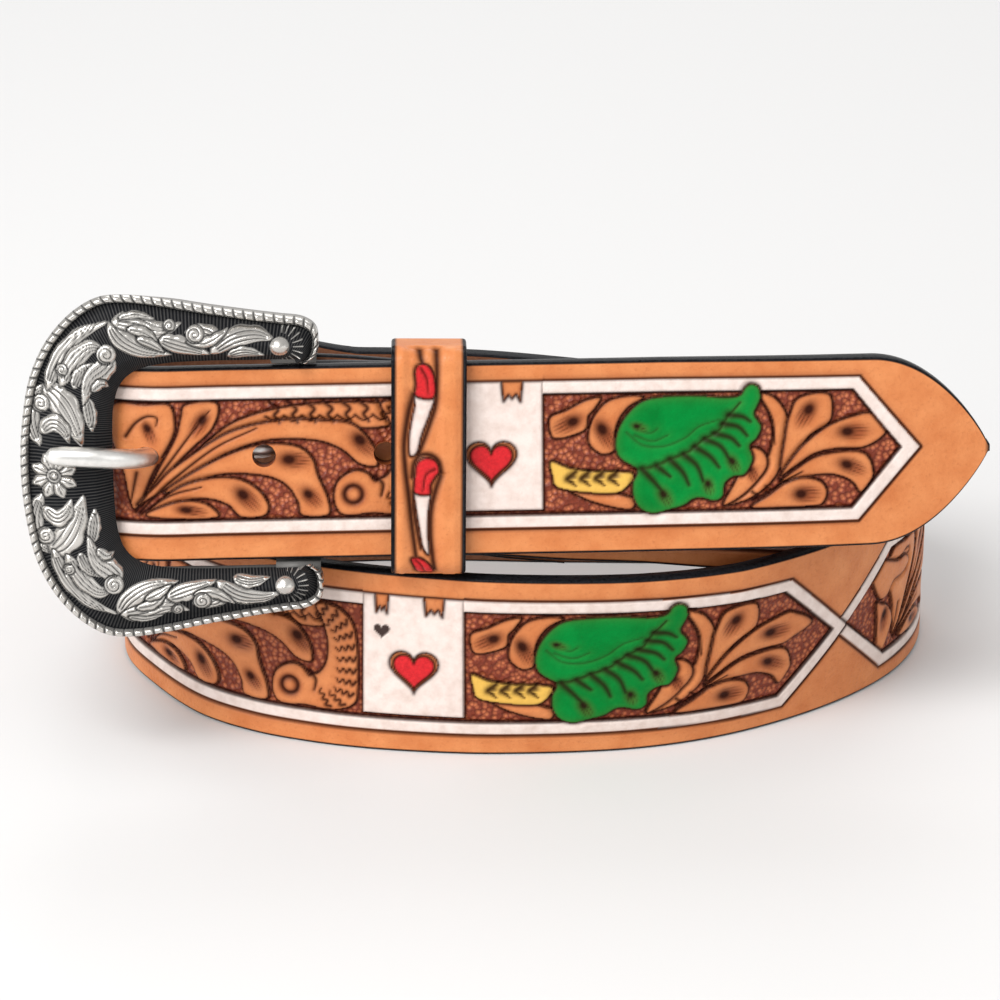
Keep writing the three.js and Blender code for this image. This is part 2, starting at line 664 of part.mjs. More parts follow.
function makeProng() {
  const insideRadius = barDiameter / 2 + barPlay;
  const outsideRadius = insideRadius + prongRingWall;
  const half = prongRingWidth / 2;
  const soft = 0.4;
  const profile = [
    [insideRadius, -half + soft], [insideRadius + soft, -half], [outsideRadius - soft, -half],
    [outsideRadius, -half + soft], [outsideRadius, half - soft], [outsideRadius - soft, half],
    [insideRadius + soft, half], [insideRadius, half - soft], [insideRadius, -half + soft],
  ];
  const ring = new THREE.LatheGeometry(profile.map(([x, y]) => new THREE.Vector2(x, y)), ringSides);
  ring.rotateX(Math.PI / 2).translate(0, barY, holeLine);
  const clear = rod(
    insideRadius, prongRingWidth * 2, ringSides,
    new THREE.Vector3(0, 0, 1), new THREE.Vector3(0, barY, holeLine),
  );
  return geometryOf(solid(ring).add(prongShaft(0).subtract(solid(clear))));
}

// The keeper: a rounded loop of leather round the billet and the strap's start.
function roundedLoop(target, low, high, left, right, corner) {
  target.moveTo(left + corner, low);
  target.lineTo(right - corner, low);
  target.absarc(right - corner, low + corner, corner, -Math.PI / 2, 0);
  target.lineTo(right, high - corner);
  target.absarc(right - corner, high - corner, corner, 0, Math.PI / 2);
  target.lineTo(left + corner, high);
  target.absarc(left + corner, high - corner, corner, Math.PI / 2, Math.PI);
  target.lineTo(left, low + corner);
  target.absarc(left + corner, low + corner, corner, Math.PI, 1.5 * Math.PI);
  return target;
}

function makeKeeper() {
  const bevel = keeperBevel;
  const insideFront = -keeperEase;
  const insideBack = startBack + 2 * layerGap;
  const low = -keeperHeadroom;
  const high = strapWidth + keeperHeadroom;
  const loop = roundedLoop(
    new THREE.Shape(),
    low - keeperWall + bevel, high + keeperWall - bevel,
    insideFront - keeperWall + bevel, insideBack + keeperWall - bevel,
    keeperCorner - bevel,
  );
  const hole = new THREE.Path();
  loop.holes.push(roundedLoop(
    hole, low - bevel, high + bevel, insideFront - bevel, insideBack + bevel, keeperInsideCorner,
  ));
  const geometry = new THREE.ExtrudeGeometry(loop, {
    depth: keeperWidth - 2 * bevel,
    bevelThickness: bevel,
    bevelSize: bevel,
    bevelSegments: 1,
    curveSegments: 4,
  });
  // The outline's two ways become into the coil and up, and the extrusion runs along the strap.
  geometry.translate(0, 0, -keeperWidth / 2 + bevel);
  geometry.applyMatrix4(new THREE.Matrix4().makeBasis(
    new THREE.Vector3(0, 1, 0), new THREE.Vector3(0, 0, 1), new THREE.Vector3(1, 0, 0),
  ));
  return geometryOf(solid(geometry));
}

const material = (name, color, roughness, metalness) =>
  new THREE.MeshStandardMaterial({ name, color, roughness, metalness });
const tooled = material("tooled_leather", 0xd08a55, 0.6, 0);
const plain = material("keeper_leather", 0xd08a55, 0.6, 0);
const cast = material("antique_metal", 0xb8b4ae, 0.35, 1);
const steel = material("satin_steel", 0xc9c5be, 0.4, 1);

function piece(name, geometry, look) {
  const mesh = new THREE.Mesh(geometry, look);
  mesh.name = name;
  return mesh;
}

const belt = new THREE.Group();
belt.name = "belt";
const coil = new THREE.Group();
coil.name = "coil";
coil.add(piece("strap", makeStrap(), tooled));
front.name = "fastened_front";
front.add(piece("buckle_frame", makeFrame(), cast));
front.add(piece("buckle_bar", makeBar(), steel));
front.add(piece("prong", makeProng(), steel));
screwPlaces.forEach((place, i) =>
  front.add(piece(`screw_${i + 1}`, geometryOf(screwSolid(place, 0)), steel)),
);
const keeper = piece("keeper", makeKeeper(), plain);
keeper.position.set(keeperPlace, 0, 0);
keeper.rotation.set(0, keeperTilt * down, -keeperYaw * down);
front.add(keeper);
coil.add(front);
belt.add(coil);

// The origin goes to the middle of the coil's bottom.
coil.updateMatrixWorld(true);
const box = new THREE.Box3().setFromObject(coil, true);
coil.position.set(-(box.min.x + box.max.x) / 2, -(box.min.y + box.max.y) / 2, -box.min.z);

export default belt;
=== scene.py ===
"""The looks of a western tooled belt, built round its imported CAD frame.

The strap is one long sweep along the CAD's own line, cut into pieces at the tooled panels. Each piece
carries its carving as real depth and its dyes as numbers on its vertices. Distances are millimetres until
the meshes are made.
"""
import math

import bpy
import numpy as np
from mathutils import Matrix, Vector


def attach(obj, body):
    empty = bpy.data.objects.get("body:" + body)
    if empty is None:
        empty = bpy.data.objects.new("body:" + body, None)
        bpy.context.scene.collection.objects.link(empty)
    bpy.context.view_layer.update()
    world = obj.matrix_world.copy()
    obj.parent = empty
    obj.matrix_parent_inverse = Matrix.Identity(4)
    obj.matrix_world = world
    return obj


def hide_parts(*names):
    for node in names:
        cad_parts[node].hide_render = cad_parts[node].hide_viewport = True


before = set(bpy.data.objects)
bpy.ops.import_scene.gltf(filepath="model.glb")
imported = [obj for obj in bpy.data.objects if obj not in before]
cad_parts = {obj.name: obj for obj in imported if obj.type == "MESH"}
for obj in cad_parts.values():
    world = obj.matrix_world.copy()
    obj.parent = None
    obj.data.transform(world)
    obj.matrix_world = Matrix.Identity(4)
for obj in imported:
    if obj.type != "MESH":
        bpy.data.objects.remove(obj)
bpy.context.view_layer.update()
MM = 0.001

# The CAD's sizes
STRAP_WIDTH = 38.0
STRAP_THICKNESS = 3.6
SKIVED_THICKNESS = 2.2
EDGE_BEVEL = 0.7
LAYER_GAP = 0.3
TIP_LENGTH = 23.0
TIP_FULLNESS = 0.8
TIP_ROUND = 1.6
SKIVE_START = 3.0
SKIVE_STEP = 6.0
SLOT_LENGTH = 10.5
SLOT_HEIGHT = 7.0
SLOT_EASE = 1.2
TAB_REACH = 52.0
OVERHANG = 134.0
COIL_LENGTH = 164.0
COIL_DEPTH = 91.4
STRAP_LEAN = 10.0
LOWER_LEAN = 4.0
STRAP_YAW = 2.4
STRAP_RISE = 0.15
FRONT_PROUD = 0.5
BAR_SHARE = -0.543
HOLE_DIAMETER = 4.5
HOLE_PITCH = 23.3
HOLE_COUNT = 5
USED_HOLE = 2
HOLE_LINE = 20.6
FRAME_LENGTH = 57.4
FRAME_HEIGHT = 67.2
FRAME_INSIDE = 41.0
WINDOW_SHARE = 0.61
PRONG_ROOM = 5.5
BAR_TO_HOLE = WINDOW_SHARE * FRAME_LENGTH - PRONG_ROOM
BAR_DIAMETER = 4.2
BAR_PLAY = 0.3
FOLD_PLAY = 0.4
PRONG_RING_WALL = 1.4
PRONG_DIAMETER = 3.9
KEEPER_WIDTH = 14.4
KEEPER_WALL = 2.2
KEEPER_HEADROOM = 1.3
KEEPER_EASE = 0.8
KEEPER_PLACE = 25.1
KEEPER_CORNER = 3.4
KEEPER_YAW = 1.0
KEEPER_TILT = 1.0

BILLET_MIDDLE = STRAP_THICKNESS / 2
START_FRONT = STRAP_THICKNESS + LAYER_GAP
START_MIDDLE = START_FRONT + STRAP_THICKNESS / 2
START_BACK = START_FRONT + STRAP_THICKNESS
BAR_Y = START_FRONT + SKIVED_THICKNESS + FOLD_PLAY + BAR_DIAMETER / 2
FOLD_RADIUS = BAR_DIAMETER / 2 + FOLD_PLAY + SKIVED_THICKNESS / 2
KEEPER_BACK = START_BACK + 2 * LAYER_GAP + KEEPER_WALL
TAB_MIDDLE = max(KEEPER_BACK + LAYER_GAP + SKIVED_THICKNESS / 2, BAR_Y + FOLD_RADIUS)


def sine(degrees):
    return math.sin(math.radians(degrees))


def cosine(degrees):
    return math.cos(math.radians(degrees))


SEAT_DEPTH = STRAP_THICKNESS + FRONT_PROUD + STRAP_WIDTH * sine(LOWER_LEAN)
FRONT_LIFT = (
    STRAP_WIDTH + LAYER_GAP + (KEEPER_HEADROOM + KEEPER_WALL) * cosine(STRAP_LEAN)
    + SEAT_DEPTH * sine(STRAP_LEAN) - KEEPER_PLACE * sine(STRAP_RISE)
)
# From the coil's own origin to the middle of the whole bottom
COIL_SHIFT = np.array([4.155, -44.278, 0.0])


def turned(axis, degrees):
    return np.array(Matrix.Rotation(math.radians(degrees), 3, axis))


FRONT_TURN = turned("Z", STRAP_YAW) @ turned("Y", -STRAP_RISE) @ turned("X", -STRAP_LEAN)
FRONT_PLACE = np.array([
    BAR_SHARE * COIL_LENGTH / 2, -STRAP_THICKNESS / 2 - FRONT_PROUD, FRONT_LIFT,
])


def to_front(points):
    """Places in the fastened front's frame, given in the row's frame."""
    return np.asarray(points, float) @ FRONT_TURN.T + FRONT_PLACE + COIL_SHIFT


# The strap's stations: along from the bar, into the coil, up, lean
TAB_ROWS = [
    (TAB_REACH, TAB_MIDDLE - 1.6, -4.6),
    (TAB_REACH - 10, TAB_MIDDLE - 0.9, -3.7),
    (KEEPER_PLACE + 9, TAB_MIDDLE, -2.9),
    (KEEPER_PLACE - 9, TAB_MIDDLE, -1.3),
    (7, (TAB_MIDDLE + BAR_Y + FOLD_RADIUS) / 2, -0.4),
    (0, BAR_Y + FOLD_RADIUS, 0),
]
START_ROWS = [
    (0, BAR_Y - FOLD_RADIUS, 0), (3, BAR_Y - FOLD_RADIUS, 0), (9, START_MIDDLE, -0.3),
    (25, START_MIDDLE, -0.9), (39, START_MIDDLE + 0.1, -1.4), (52, START_MIDDLE + 0.9, -2.7),
    (66, START_MIDDLE + 2.7, -4),
]
BILLET_ROWS = [
    (-28, BILLET_MIDDLE, 0, STRAP_LEAN), (-14, BILLET_MIDDLE, 0, STRAP_LEAN),
    (0, BILLET_MIDDLE, 0, STRAP_LEAN), (35, BILLET_MIDDLE, 0, STRAP_LEAN),
    (70, BILLET_MIDDLE, 0, STRAP_LEAN), (105, BILLET_MIDDLE + 1, 0.1, 7),
    (OVERHANG, BILLET_MIDDLE + 2.8, 0.7, 3),
]
# Round the coil: share of half the length, share of the depth, share of the lift, lean
ROUND_ROWS = [
    (0.47, 0.145, 0.79, 8), (0.65, 0.255, 0.665, 4), (0.8, 0.4, 0.55, 2), (0.905, 0.59, 0.38, 0),
    (0.875, 0.78, 0.23, 0), (0.725, 0.915, 0.115, 0), (0.48, 0.97, 0.035, 0), (0.3, 0.98, 0, 0),
    (0.055, 0.985, 0, 0), (-0.25, 0.995, 0, 0), (-0.555, 0.975, 0, 0), (-0.8, 0.885, 0, 0),
    (-0.955, 0.71, 0, 0), (-1, 0.565, 0, 0), (-0.985, 0.455, 0, 2), (-0.92, 0.34, 0, 4),
    (-0.79, 0.185, 0, 5), (-0.66, 0.105, 0, 5), (-0.535, 0.06, 0, 5), (-0.41, 0.03, 0, 4),
    (-0.23, 0.007, 0, 2), (-0.065, 0, 0, 0), (0.255, 0.025, 0, -3), (0.485, 0.093, 0, -5),
    (0.72, 0.225, 0, -4), (0.88, 0.37, 0, -2), (0.96, 0.505, 0, -1),
    (0.988, 0.645, 0, 0), (0.965, 0.8, 0.005, 0), (0.82, 0.95, 0.025, 0), (0.54, 1.025, 0.08, 0),
    (0.3, 1.035, 0.12, 0), (0.09, 1.04, 0.165, 0), (-0.14, 1.047, 0.2, 0), (-0.35, 1.043, 0.215, 0),
    (-0.53, 1.03, 0.235, 0), (-0.775, 0.965, 0.355, 0), (-0.98, 0.81, 0.49, 1), (-1.11, 0.59, 0.65, 2),
    (-1.145, 0.36, 0.8, 5), (-1.127, 0.216, 0.885, 7), (-1.07, 0.092, 0.945, 9), (-0.985, 0.01, 0.978, 10),
]
FOLD_STEPS = 9


def stations():
    rows = []

    def in_front(along, into, up, thickness, lean):
        rows.append((*to_front((along, into, up)), thickness, lean, 1.0))

    for along, into, up in TAB_ROWS:
        in_front(along, into, up, SKIVED_THICKNESS, STRAP_LEAN)
    for i in range(FOLD_STEPS):
        turn = (i + 1) / (FOLD_STEPS + 1) * math.pi
        in_front(-FOLD_RADIUS * math.sin(turn), BAR_Y + FOLD_RADIUS * math.cos(turn), 0,
                 SKIVED_THICKNESS, STRAP_LEAN)
    for along, into, up in START_ROWS:
        grown = min(1, max(0, (along - SKIVE_START) / SKIVE_STEP))
        thickness = SKIVED_THICKNESS + (STRAP_THICKNESS - SKIVED_THICKNESS) * grown
        in_front(along, into, up, thickness, STRAP_LEAN)
    for x, y, lift, lean in ROUND_ROWS:
        place = np.array([x * COIL_LENGTH / 2, y * COIL_DEPTH, lift * FRONT_LIFT]) + COIL_SHIFT
        rows.append((*place, STRAP_THICKNESS, lean, lift))
    for along, into, up, lean in BILLET_ROWS:
        in_front(along, into, up, STRAP_THICKNESS, lean)
    return np.array(rows)


class Spline:
    """A centripetal curve through points, as the CAD's."""

    def __init__(self, points):
        self.points = np.asarray(points, float)
        self.count = len(self.points)

    def place(self, share):
        share = np.atleast_1d(share)
        spot = (self.count - 1) * share
        index = np.minimum(np.floor(spot).astype(int), self.count - 2)
        weight = (spot - index)[:, None]
        p = self.points
        before = np.where(index[:, None] > 0, p[np.maximum(index - 1, 0)], 2 * p[0] - p[1])
        last = np.minimum(index + 2, self.count - 1)
        after = np.where(index[:, None] + 2 < self.count, p[last], 2 * p[-1] - p[-2])
        start, end = p[index], p[index + 1]

        def knot(a, b):
            return ((a - b) ** 2).sum(1)[:, None] ** 0.25

        d0, d1, d2 = knot(start, before), knot(start, end), knot(end, after)
        d1 = np.where(d1 < 1e-4, 1, d1)
        d0 = np.where(d0 < 1e-4, d1, d0)
        d2 = np.where(d2 < 1e-4, d1, d2)
        t1 = ((start - before) / d0 - (end - before) / (d0 + d1) + (end - start) / d1) * d1
        t2 = ((end - start) / d1 - (after - start) / (d1 + d2) + (after - end) / d2) * d1
        c2 = -3 * start + 3 * end - 2 * t1 - t2
        c3 = 2 * start - 2 * end + t1 + t2
        return start + t1 * weight + c2 * weight ** 2 + c3 * weight ** 3

    def way(self, share):
        step = 1e-4
        share = np.atleast_1d(share)
        along = self.place(np.minimum(1, share + step)) - self.place(np.maximum(0, share - step))
        return along / np.linalg.norm(along, axis=1)[:, None]


STATIONS = stations()
FRONT_STATIONS = len(TAB_ROWS) + FOLD_STEPS + len(START_ROWS) - 1
LINE = Spline(STATIONS[:, :3])
FINE_STEPS = 2400
_fine = np.arange(FINE_STEPS + 1) / FINE_STEPS
_steps = np.linalg.norm(np.diff(LINE.place(_fine), axis=0), axis=1)
LENGTHS = np.concatenate([[0], np.cumsum(_steps)])
STRAP_LENGTH = LENGTHS[-1]
SQUARE_LIFT = 0.125


def unit(vectors):
    return vectors / np.linalg.norm(vectors, axis=1)[:, None]


def strap_frames(distance):
    """Place, way up, way out and thickness at distances from the strap's hidden end."""
    share = np.interp(distance, LENGTHS, _fine)
    place = LINE.place(share)
    place[:, 2] = np.maximum(0, place[:, 2])
    along = LINE.way(share)
    spot = share * (len(STATIONS) - 1)
    index = np.minimum(spot.astype(int), len(STATIONS) - 2)
    mix = STATIONS[index] + (STATIONS[index + 1] - STATIONS[index]) * (spot - index)[:, None]
    flat = unit(along * [1, 1, 0])
    outward = np.stack([flat[:, 1], -flat[:, 0], 0 * flat[:, 0]], 1)
    lean = np.radians(mix[:, 4])
    up = np.stack([0 * lean, 0 * lean, np.cos(lean)], 1) - outward * np.sin(lean)[:, None]
    up = np.where((spot < FRONT_STATIONS)[:, None], FRONT_TURN[:, 2], up)
    up = unit(up - along * (up * along).sum(1)[:, None])
    square = unit(np.cross(along, up))
    blend = np.minimum(1, mix[:, 5] / SQUARE_LIFT)[:, None]
    out = unit(outward + (square - outward) * blend)
    return place, up, out, mix[:, 3]


# Carving
class Carving:
    """Depth and dyes at the vertices of a flat stretch, painted motif over motif."""

    STREAK_PITCH = 0.7
    MASKS = ("bg", "white", "green", "yellow", "red", "cut", "burn", "edge")

    def __init__(self, u, v):
        self.u = u
        self.v = v
        self.depth = np.zeros(len(u))
        for name in self.MASKS:
            setattr(self, name, np.zeros(len(u)))

    def piece(self, where, u):
        part = Carving(u[where], self.v[where])
        part.depth = self.depth[where]
        for name in self.MASKS:
            setattr(part, name, getattr(self, name)[where])
        return part

    def put_back(self, where, part):
        self.depth[where] = part.depth
        for name in self.MASKS:
            getattr(self, name)[where] = getattr(part, name)

    def near(self, points, margin):
        low = np.min(points, axis=0) - margin
        high = np.max(points, axis=0) + margin
        inside = (self.u > low[0]) & (self.u < high[0]) & (self.v > low[1]) & (self.v < high[1])
        return np.nonzero(inside)[0]

    def dye(self, where, colour, amount=1.0):
        for name in ("bg", "white", "green", "yellow", "red"):
            layer = getattr(self, name)
            target = amount if name == colour else 0.0
            layer[where] = target

    def motif(self, points, colour=None, closed_smooth=True, level=0.0, bevel=0.8, reach=1.3, burn=0.8):
        """A shape raised by sinking what is round it: a knife cut, a bevelled outside, a soft dome."""
        outline = smooth_loop(points) if closed_smooth else np.asarray(points, float)
        idx = self.near(outline, reach + 0.3)
        if not len(idx):
            return
        distance = loop_distance(outline, self.u[idx], self.v[idx])
        inside = distance < 0
        ins, away = idx[inside], idx[~inside]
        din, dout = -distance[inside], distance[~inside]
        self.dye(ins, colour)
        self.depth[ins] = level - 0.16 * np.exp(-din / 0.45)
        self.cut[ins] = np.exp(-((din / 0.3) ** 2))
        self.burn[ins] = burn * np.exp(-din / 0.7)
        fall = np.clip(1 - dout / reach, 0, 1)
        self.depth[away] = np.minimum(self.depth[away], -bevel * fall ** 1.3)
        self.cut[away] = np.maximum(self.cut[away], np.exp(-((dout / 0.42) ** 2)))
        self.burn[away] = np.maximum(self.burn[away], 0.9 * fall ** 1.5)

    def knife(self, points, width=0.3, depth=0.32, dark=1.0, soft=0.9, taper=0.6):
        """A decorative cut that tapers to its far end."""
        path = smooth_path(points)
        idx = self.near(path, 1.6)
        if not len(idx):
            return
        distance, along = path_distance(path, self.u[idx], self.v[idx])
        wide = 1.25 * width * (1 - taper * along)
        self.depth[idx] -= depth * np.exp(-((distance / (wide + 0.08)) ** 2))
        self.cut[idx] = np.maximum(self.cut[idx], dark * np.exp(-((distance / wide) ** 2)))
        self.burn[idx] = np.maximum(self.burn[idx], 0.75 * soft * np.exp(-distance / 0.8))

    def spot(self, place, way, length, width):
        """A thumbprint: a shallow hollow, burnished dark with fine lines along it."""
        du = self.u - place[0]
        dv = self.v - place[1]
        angle = math.radians(way)
        run = du * math.cos(angle) + dv * math.sin(angle)
        side = -du * math.sin(angle) + dv * math.cos(angle)
        size = (run / length) ** 2 + (side / width) ** 2
        idx = np.nonzero(size < 3)[0]
        if not len(idx):
            return
        size = size[idx]
        hollow = np.exp(-1.2 * size)
        heel = np.exp(-2.2 * (((run[idx] / length - 0.3) / 0.75) ** 2 + (side[idx] / width) ** 2))
        lines = 0.5 + 0.5 * np.cos(side[idx] * 2 * np.pi / self.STREAK_PITCH)
        streaks = 0.75 * np.clip(1.3 - size, 0, 1) * lines ** 1.5
        self.depth[idx] -= 0.4 * hollow + 0.1 * lines * hollow
        self.cut[idx] = np.maximum(self.cut[idx], np.clip(np.maximum(1.25 * heel, streaks), 0, 1))
        self.burn[idx] = np.maximum(self.burn[idx], np.clip(1.3 * np.exp(-0.9 * size), 0, 1))


def smooth_loop(points, steps=7):
    p = np.asarray(points, float)
    out = []
    for i in range(len(p)):
        a, b, c, d = p[i - 1], p[i], p[(i + 1) % len(p)], p[(i + 2) % len(p)]
        for t in np.arange(steps) / steps:
            out.append(0.5 * (2 * b + (c - a) * t + (2 * a - 5 * b + 4 * c - d) * t ** 2
                              + (3 * b - a - 3 * c + d) * t ** 3))
    return np.array(out)


def smooth_path(points, steps=8):
    p = np.asarray(points, float)
    if len(p) < 3:
        return p
    p = np.vstack([2 * p[0] - p[1], p, 2 * p[-1] - p[-2]])
    out = []
    for i in range(1, len(p) - 2):
        a, b, c, d = p[i - 1:i + 3]
        for t in np.arange(steps) / steps:
            out.append(0.5 * (2 * b + (c - a) * t + (2 * a - 5 * b + 4 * c - d) * t ** 2
                              + (3 * b - a - 3 * c + d) * t ** 3))
    out.append(p[-2])
    return np.array(out)


def loop_distance(loop, u, v):
    """Distance to a closed outline, negative inside it."""
    best = np.full(len(u), 1e9)
    inside = np.zeros(len(u), bool)
    ends = np.roll(loop, -1, axis=0)
    for (ax, ay), (bx, by) in zip(loop, ends):
        ex, ey = bx - ax, by - ay
        size = ex * ex + ey * ey + 1e-12
        t = np.clip(((u - ax) * ex + (v - ay) * ey) / size, 0, 1)
        best = np.minimum(best, (u - ax - t * ex) ** 2 + (v - ay - t * ey) ** 2)
        if ay != by:
            crosses = ((ay > v) != (by > v)) & (u < (bx - ax) * (v - ay) / (by - ay) + ax)
            inside ^= crosses
    best = np.sqrt(best)
    return np.where(inside, -best, best)


def path_distance(path, u, v):
    """Distance to an open path, and how far along it the nearest place is."""
    best = np.full(len(u), 1e9)
    along = np.zeros(len(u))
    count = len(path) - 1
    for i in range(count):
        ax, ay = path[i]
        ex, ey = path[i + 1] - path[i]
        t = np.clip(((u - ax) * ex + (v - ay) * ey) / (ex * ex + ey * ey + 1e-12), 0, 1)
        d = (u - ax - t * ex) ** 2 + (v - ay - t * ey) ** 2
        closer = d < best
        best = np.where(closer, d, best)
        along = np.where(closer, (i + t) / count, along)
    return np.sqrt(best), along


# The panels: a hexagon of white line round a carved field, repeated along the strap
FIRST_APEX = 15.3
PANEL_LENGTH = 235.85
PANEL_COUNT = 4
PANEL_MIDDLE = 19.75
# How much farther from its apex a panel's carving sits, at distances along it, panel by panel from the tip
SHIFT_PLACES = (2, 12, 32, 60, 94, 112, 205, 230)
PANEL_SHIFTS = (
    (0, 0, 0, 0, 0, 0, 0, 0), (0, 2.5, 2.5, 2.5, 2.5, 2.5, 2.5, 0),
    (0, 5, 5.8, 7.4, 7, 5.8, 5.8, 0), (0, 2.5, 2.5, 2.5, 2.5, 2.5, 2.5, 0),
)
# How much lower a panel sits, at distances from its apex, panel by panel from the tip
DROP_PLACES = (0, 14, 45, 190, 222, 236)
LOWERED = (2.0, 1.6, 0.9, 0.9, 1.6, 2.0)
PANEL_DROPS = ((0, 0, 0, 0, 1.6, 2.0), LOWERED, LOWERED, LOWERED)
# Where the borders turn toward an apex: the first apex is blunter than the ones where two panels meet
OUTER_HALF = 14.45
INNER_HALF = 11.9
OUTER_TIP, OUTER_CORNER = -1.8, 10.2
INNER_TIP, INNER_CORNER = 1.9, 11.4
MEETING_STRETCH = 3.4

# Fan leaves round root B, from the bottom up, each with its thumbprints (place, way, length, width)
LEAF_TOP_LEFT = ([(155, 30.8), (149, 31), (144.6, 31), (143.6, 28), (144, 24.6), (147.6, 18), (151.6, 10.2),
                  (153.6, 18),
                  (156, 25)], [((148.4, 25.6), 70, 2.4, 1.2)])
LEAF_T1 = ([(135.4, 31), (141.4, 31), (142.5, 28.4), (143.6, 24.4), (147, 18), (150.6, 10.6), (146, 16.5),
            (141, 21.8), (136.4, 26.2)], [((138.9, 27), 124, 2.9, 1.5)])
LEAF_SCALLOP = ([(141, 20), (134.5, 26), (129, 28.6), (123, 30), (116, 30.7), (109, 30.8), (103, 30.4),
                 (99.6, 29.4), (99.8, 26.6), (106, 25.6), (113, 26), (122, 26), (132, 23)], [])
LEAF_F4 = ([(151, 11), (147.5, 15), (143.5, 19), (133.5, 25.2), (123.5, 27.5), (115.5, 27.3), (109.5, 26.4),
            (105.6, 22), (105, 18.2), (108.5, 18.6), (112, 21.6), (117, 23.4), (125.5, 23.6), (134, 21),
            (143, 16)], [((107.5, 22.6), 43, 3.4, 1.9)])
LEAF_F3 = ([(146, 13.5), (141.5, 17), (133.5, 21), (126.5, 22.9), (120.5, 22.4), (117.5, 20), (116.4, 16.5),
            (114.6, 12), (114.6, 8.6), (119.6, 8.6), (120.5, 11.5), (123, 15), (128, 16.8), (136, 16.8)],
           [((120.9, 19.6), 5, 3.4, 1.8), ((117.8, 12.2), 45, 2.6, 1.5)])
LEAF_F2 = ([(149, 9.8), (143.5, 14.5), (137.5, 16.3), (132, 16.2), (128, 14), (126, 10.8), (127, 8.6),
            (131.4, 8.5), (134, 11), (138.5, 12.3), (144.5, 11.6)], [((130.2, 12.2), 45, 3.3, 1.8)])
LEAF_F1 = ([(149.4, 9.1), (145.5, 11.3), (141, 12), (137.5, 11), (135.8, 8.6), (142, 8.3)],
           [((141, 10), 10, 3.2, 1.2)])
FAN = (LEAF_TOP_LEFT, LEAF_T1, LEAF_SCALLOP, LEAF_F4, LEAF_F3, LEAF_F2, LEAF_F1)
FAN_CUTS = [
    [(151.5, 9.6), (147, 16.5), (141.5, 24), (137, 29.5)],
    [(150.8, 9.4), (145, 15.5), (136.5, 22), (128, 26)],
    [(150.5, 9.2), (145, 13), (139, 14.6)],
    [(152.8, 24.6), (150.9, 27.2), (148.7, 28.6), (146.9, 28.4), (147, 26.8)], [(150.9, 17.5), (152.3, 11.2)],
]
SCALLOPS = (124.5, 121, 117.6, 114.2, 110.8, 107.4, 104)
FAN_REPEAT = 66.0

SCALLOP_LEAF = [
    (105.5, 15.2), (106.8, 16.7), (108.9, 17.4), (111, 16.7), (112.8, 15.1), (113.5, 12.6), (113.2, 10.2),
    (112, 8.7), (109.8, 8.4), (106.2, 8.8), (102.6, 8.5), (98.5, 8.8), (95.4, 10.4), (94.7, 13.4),
    (94.7, 18.6), (95, 23.5), (95.9, 27.3), (98.5, 30), (102.1, 31), (104.2, 30.2), (102.5, 26.8),
    (101.4, 22.6), (101.7, 18.8), (103, 16.5), (104.4, 15.6),
]
FLOWER = (109.7, 12.6)
SLIT = [(105.5, 15.9), (104, 14.5), (104.3, 12.2)]
# Zigzag cuts into the scalloped leaf: where each starts, and its way in degrees
ZIGZAGS = [((101.6, 30.6), -60), ((99.2, 29.4), -50), ((97, 27.6), -35), ((95.9, 25), -20), ((95.4, 22.4),
                                                                                             -12),
           ((95.1, 19.8), -5), ((95.1, 17.2), 0), ((95.2, 14.6), 6), ((95.8, 12), 15), ((97.8, 9.6), 40),
           ((101, 9), 60)]
ZIGZAG_LENGTH = 4.2

CARD_RIGHT = 73.0
CARD_LEFT = 93.8
CARD_LOW, CARD_HIGH = 8.6, 34.3
HEART = (83.1, 18.2)
HEART_SIZE = 4.1
PIP = (89.6, 26.4)
PIP_SIZE = 1.7
# The notches in the card's top: middle and half width
NOTCHES = ((79.0, 1.15), (89.6, 0.8))

GREEN_LEAF = [
    (55.1, 16.3), (58.4, 18.7), (59.3, 21.6), (58.4, 25.2), (56, 28.5), (53.1, 30.3), (48.3, 30.9),
    (42.9, 30.9), (38.2, 30.5), (35.4, 30.9), (34.3, 32.4), (33.1, 33.1), (31.6, 32.4), (31.2, 30.3),
    (31.9, 28.5), (32.4, 27), (31, 24.6), (31.9, 22.2), (33.2, 20.8), (32.6, 18.1), (34.1, 15.1),
    (36.4, 14.6), (38, 13.3), (38.3, 10.9), (40, 9.8), (42.3, 10.4), (44.1, 10.3), (45.9, 9.1),
    (48.9, 8.2), (51.9, 7.6), (54.4, 8.5), (55.8, 10.9), (55.9, 13.9),
]
GREEN_MIDLINE = [
    (55.1, 16.3), (51.9, 16.9), (48.3, 18.4), (45.3, 19.6), (42.3, 22), (39.4, 23.7), (37.6, 26.4),
    (35.2, 29.4),
]
GREEN_VEINS = [
    [(57, 23.8), (54, 21.3), (50.1, 20.9), (46, 22.4), (43, 24.8), (39.4, 26)],
    [(55.4, 23.2), (52, 22), (48.9, 23.2)],
    [(54.8, 24.4), (52.6, 23.6), (51, 24.4)],
]
GREEN_RIBS = [
    [(54, 16.4), (51.8, 14), (50, 11.8)], [(51.2, 17), (48.6, 14.9)], [(48.6, 18.2), (46.2, 15.7), (45,
                                                                                                    13.2)],
    [(46, 19.2), (43.5, 17), (42.2, 13.8)], [(43.9, 20.7), (41, 18.8), (39.2, 16.6)],
    [(42, 22.2), (38.9, 20.7), (37, 17.8)], [(40.2, 23.3), (37, 22.4), (35.3, 20.8)],
    [(38.6, 25.2), (35.6, 24.6), (33.8, 22.8)], [(37.4, 26.9), (34.8, 26.6), (33.2, 25.6)],
]
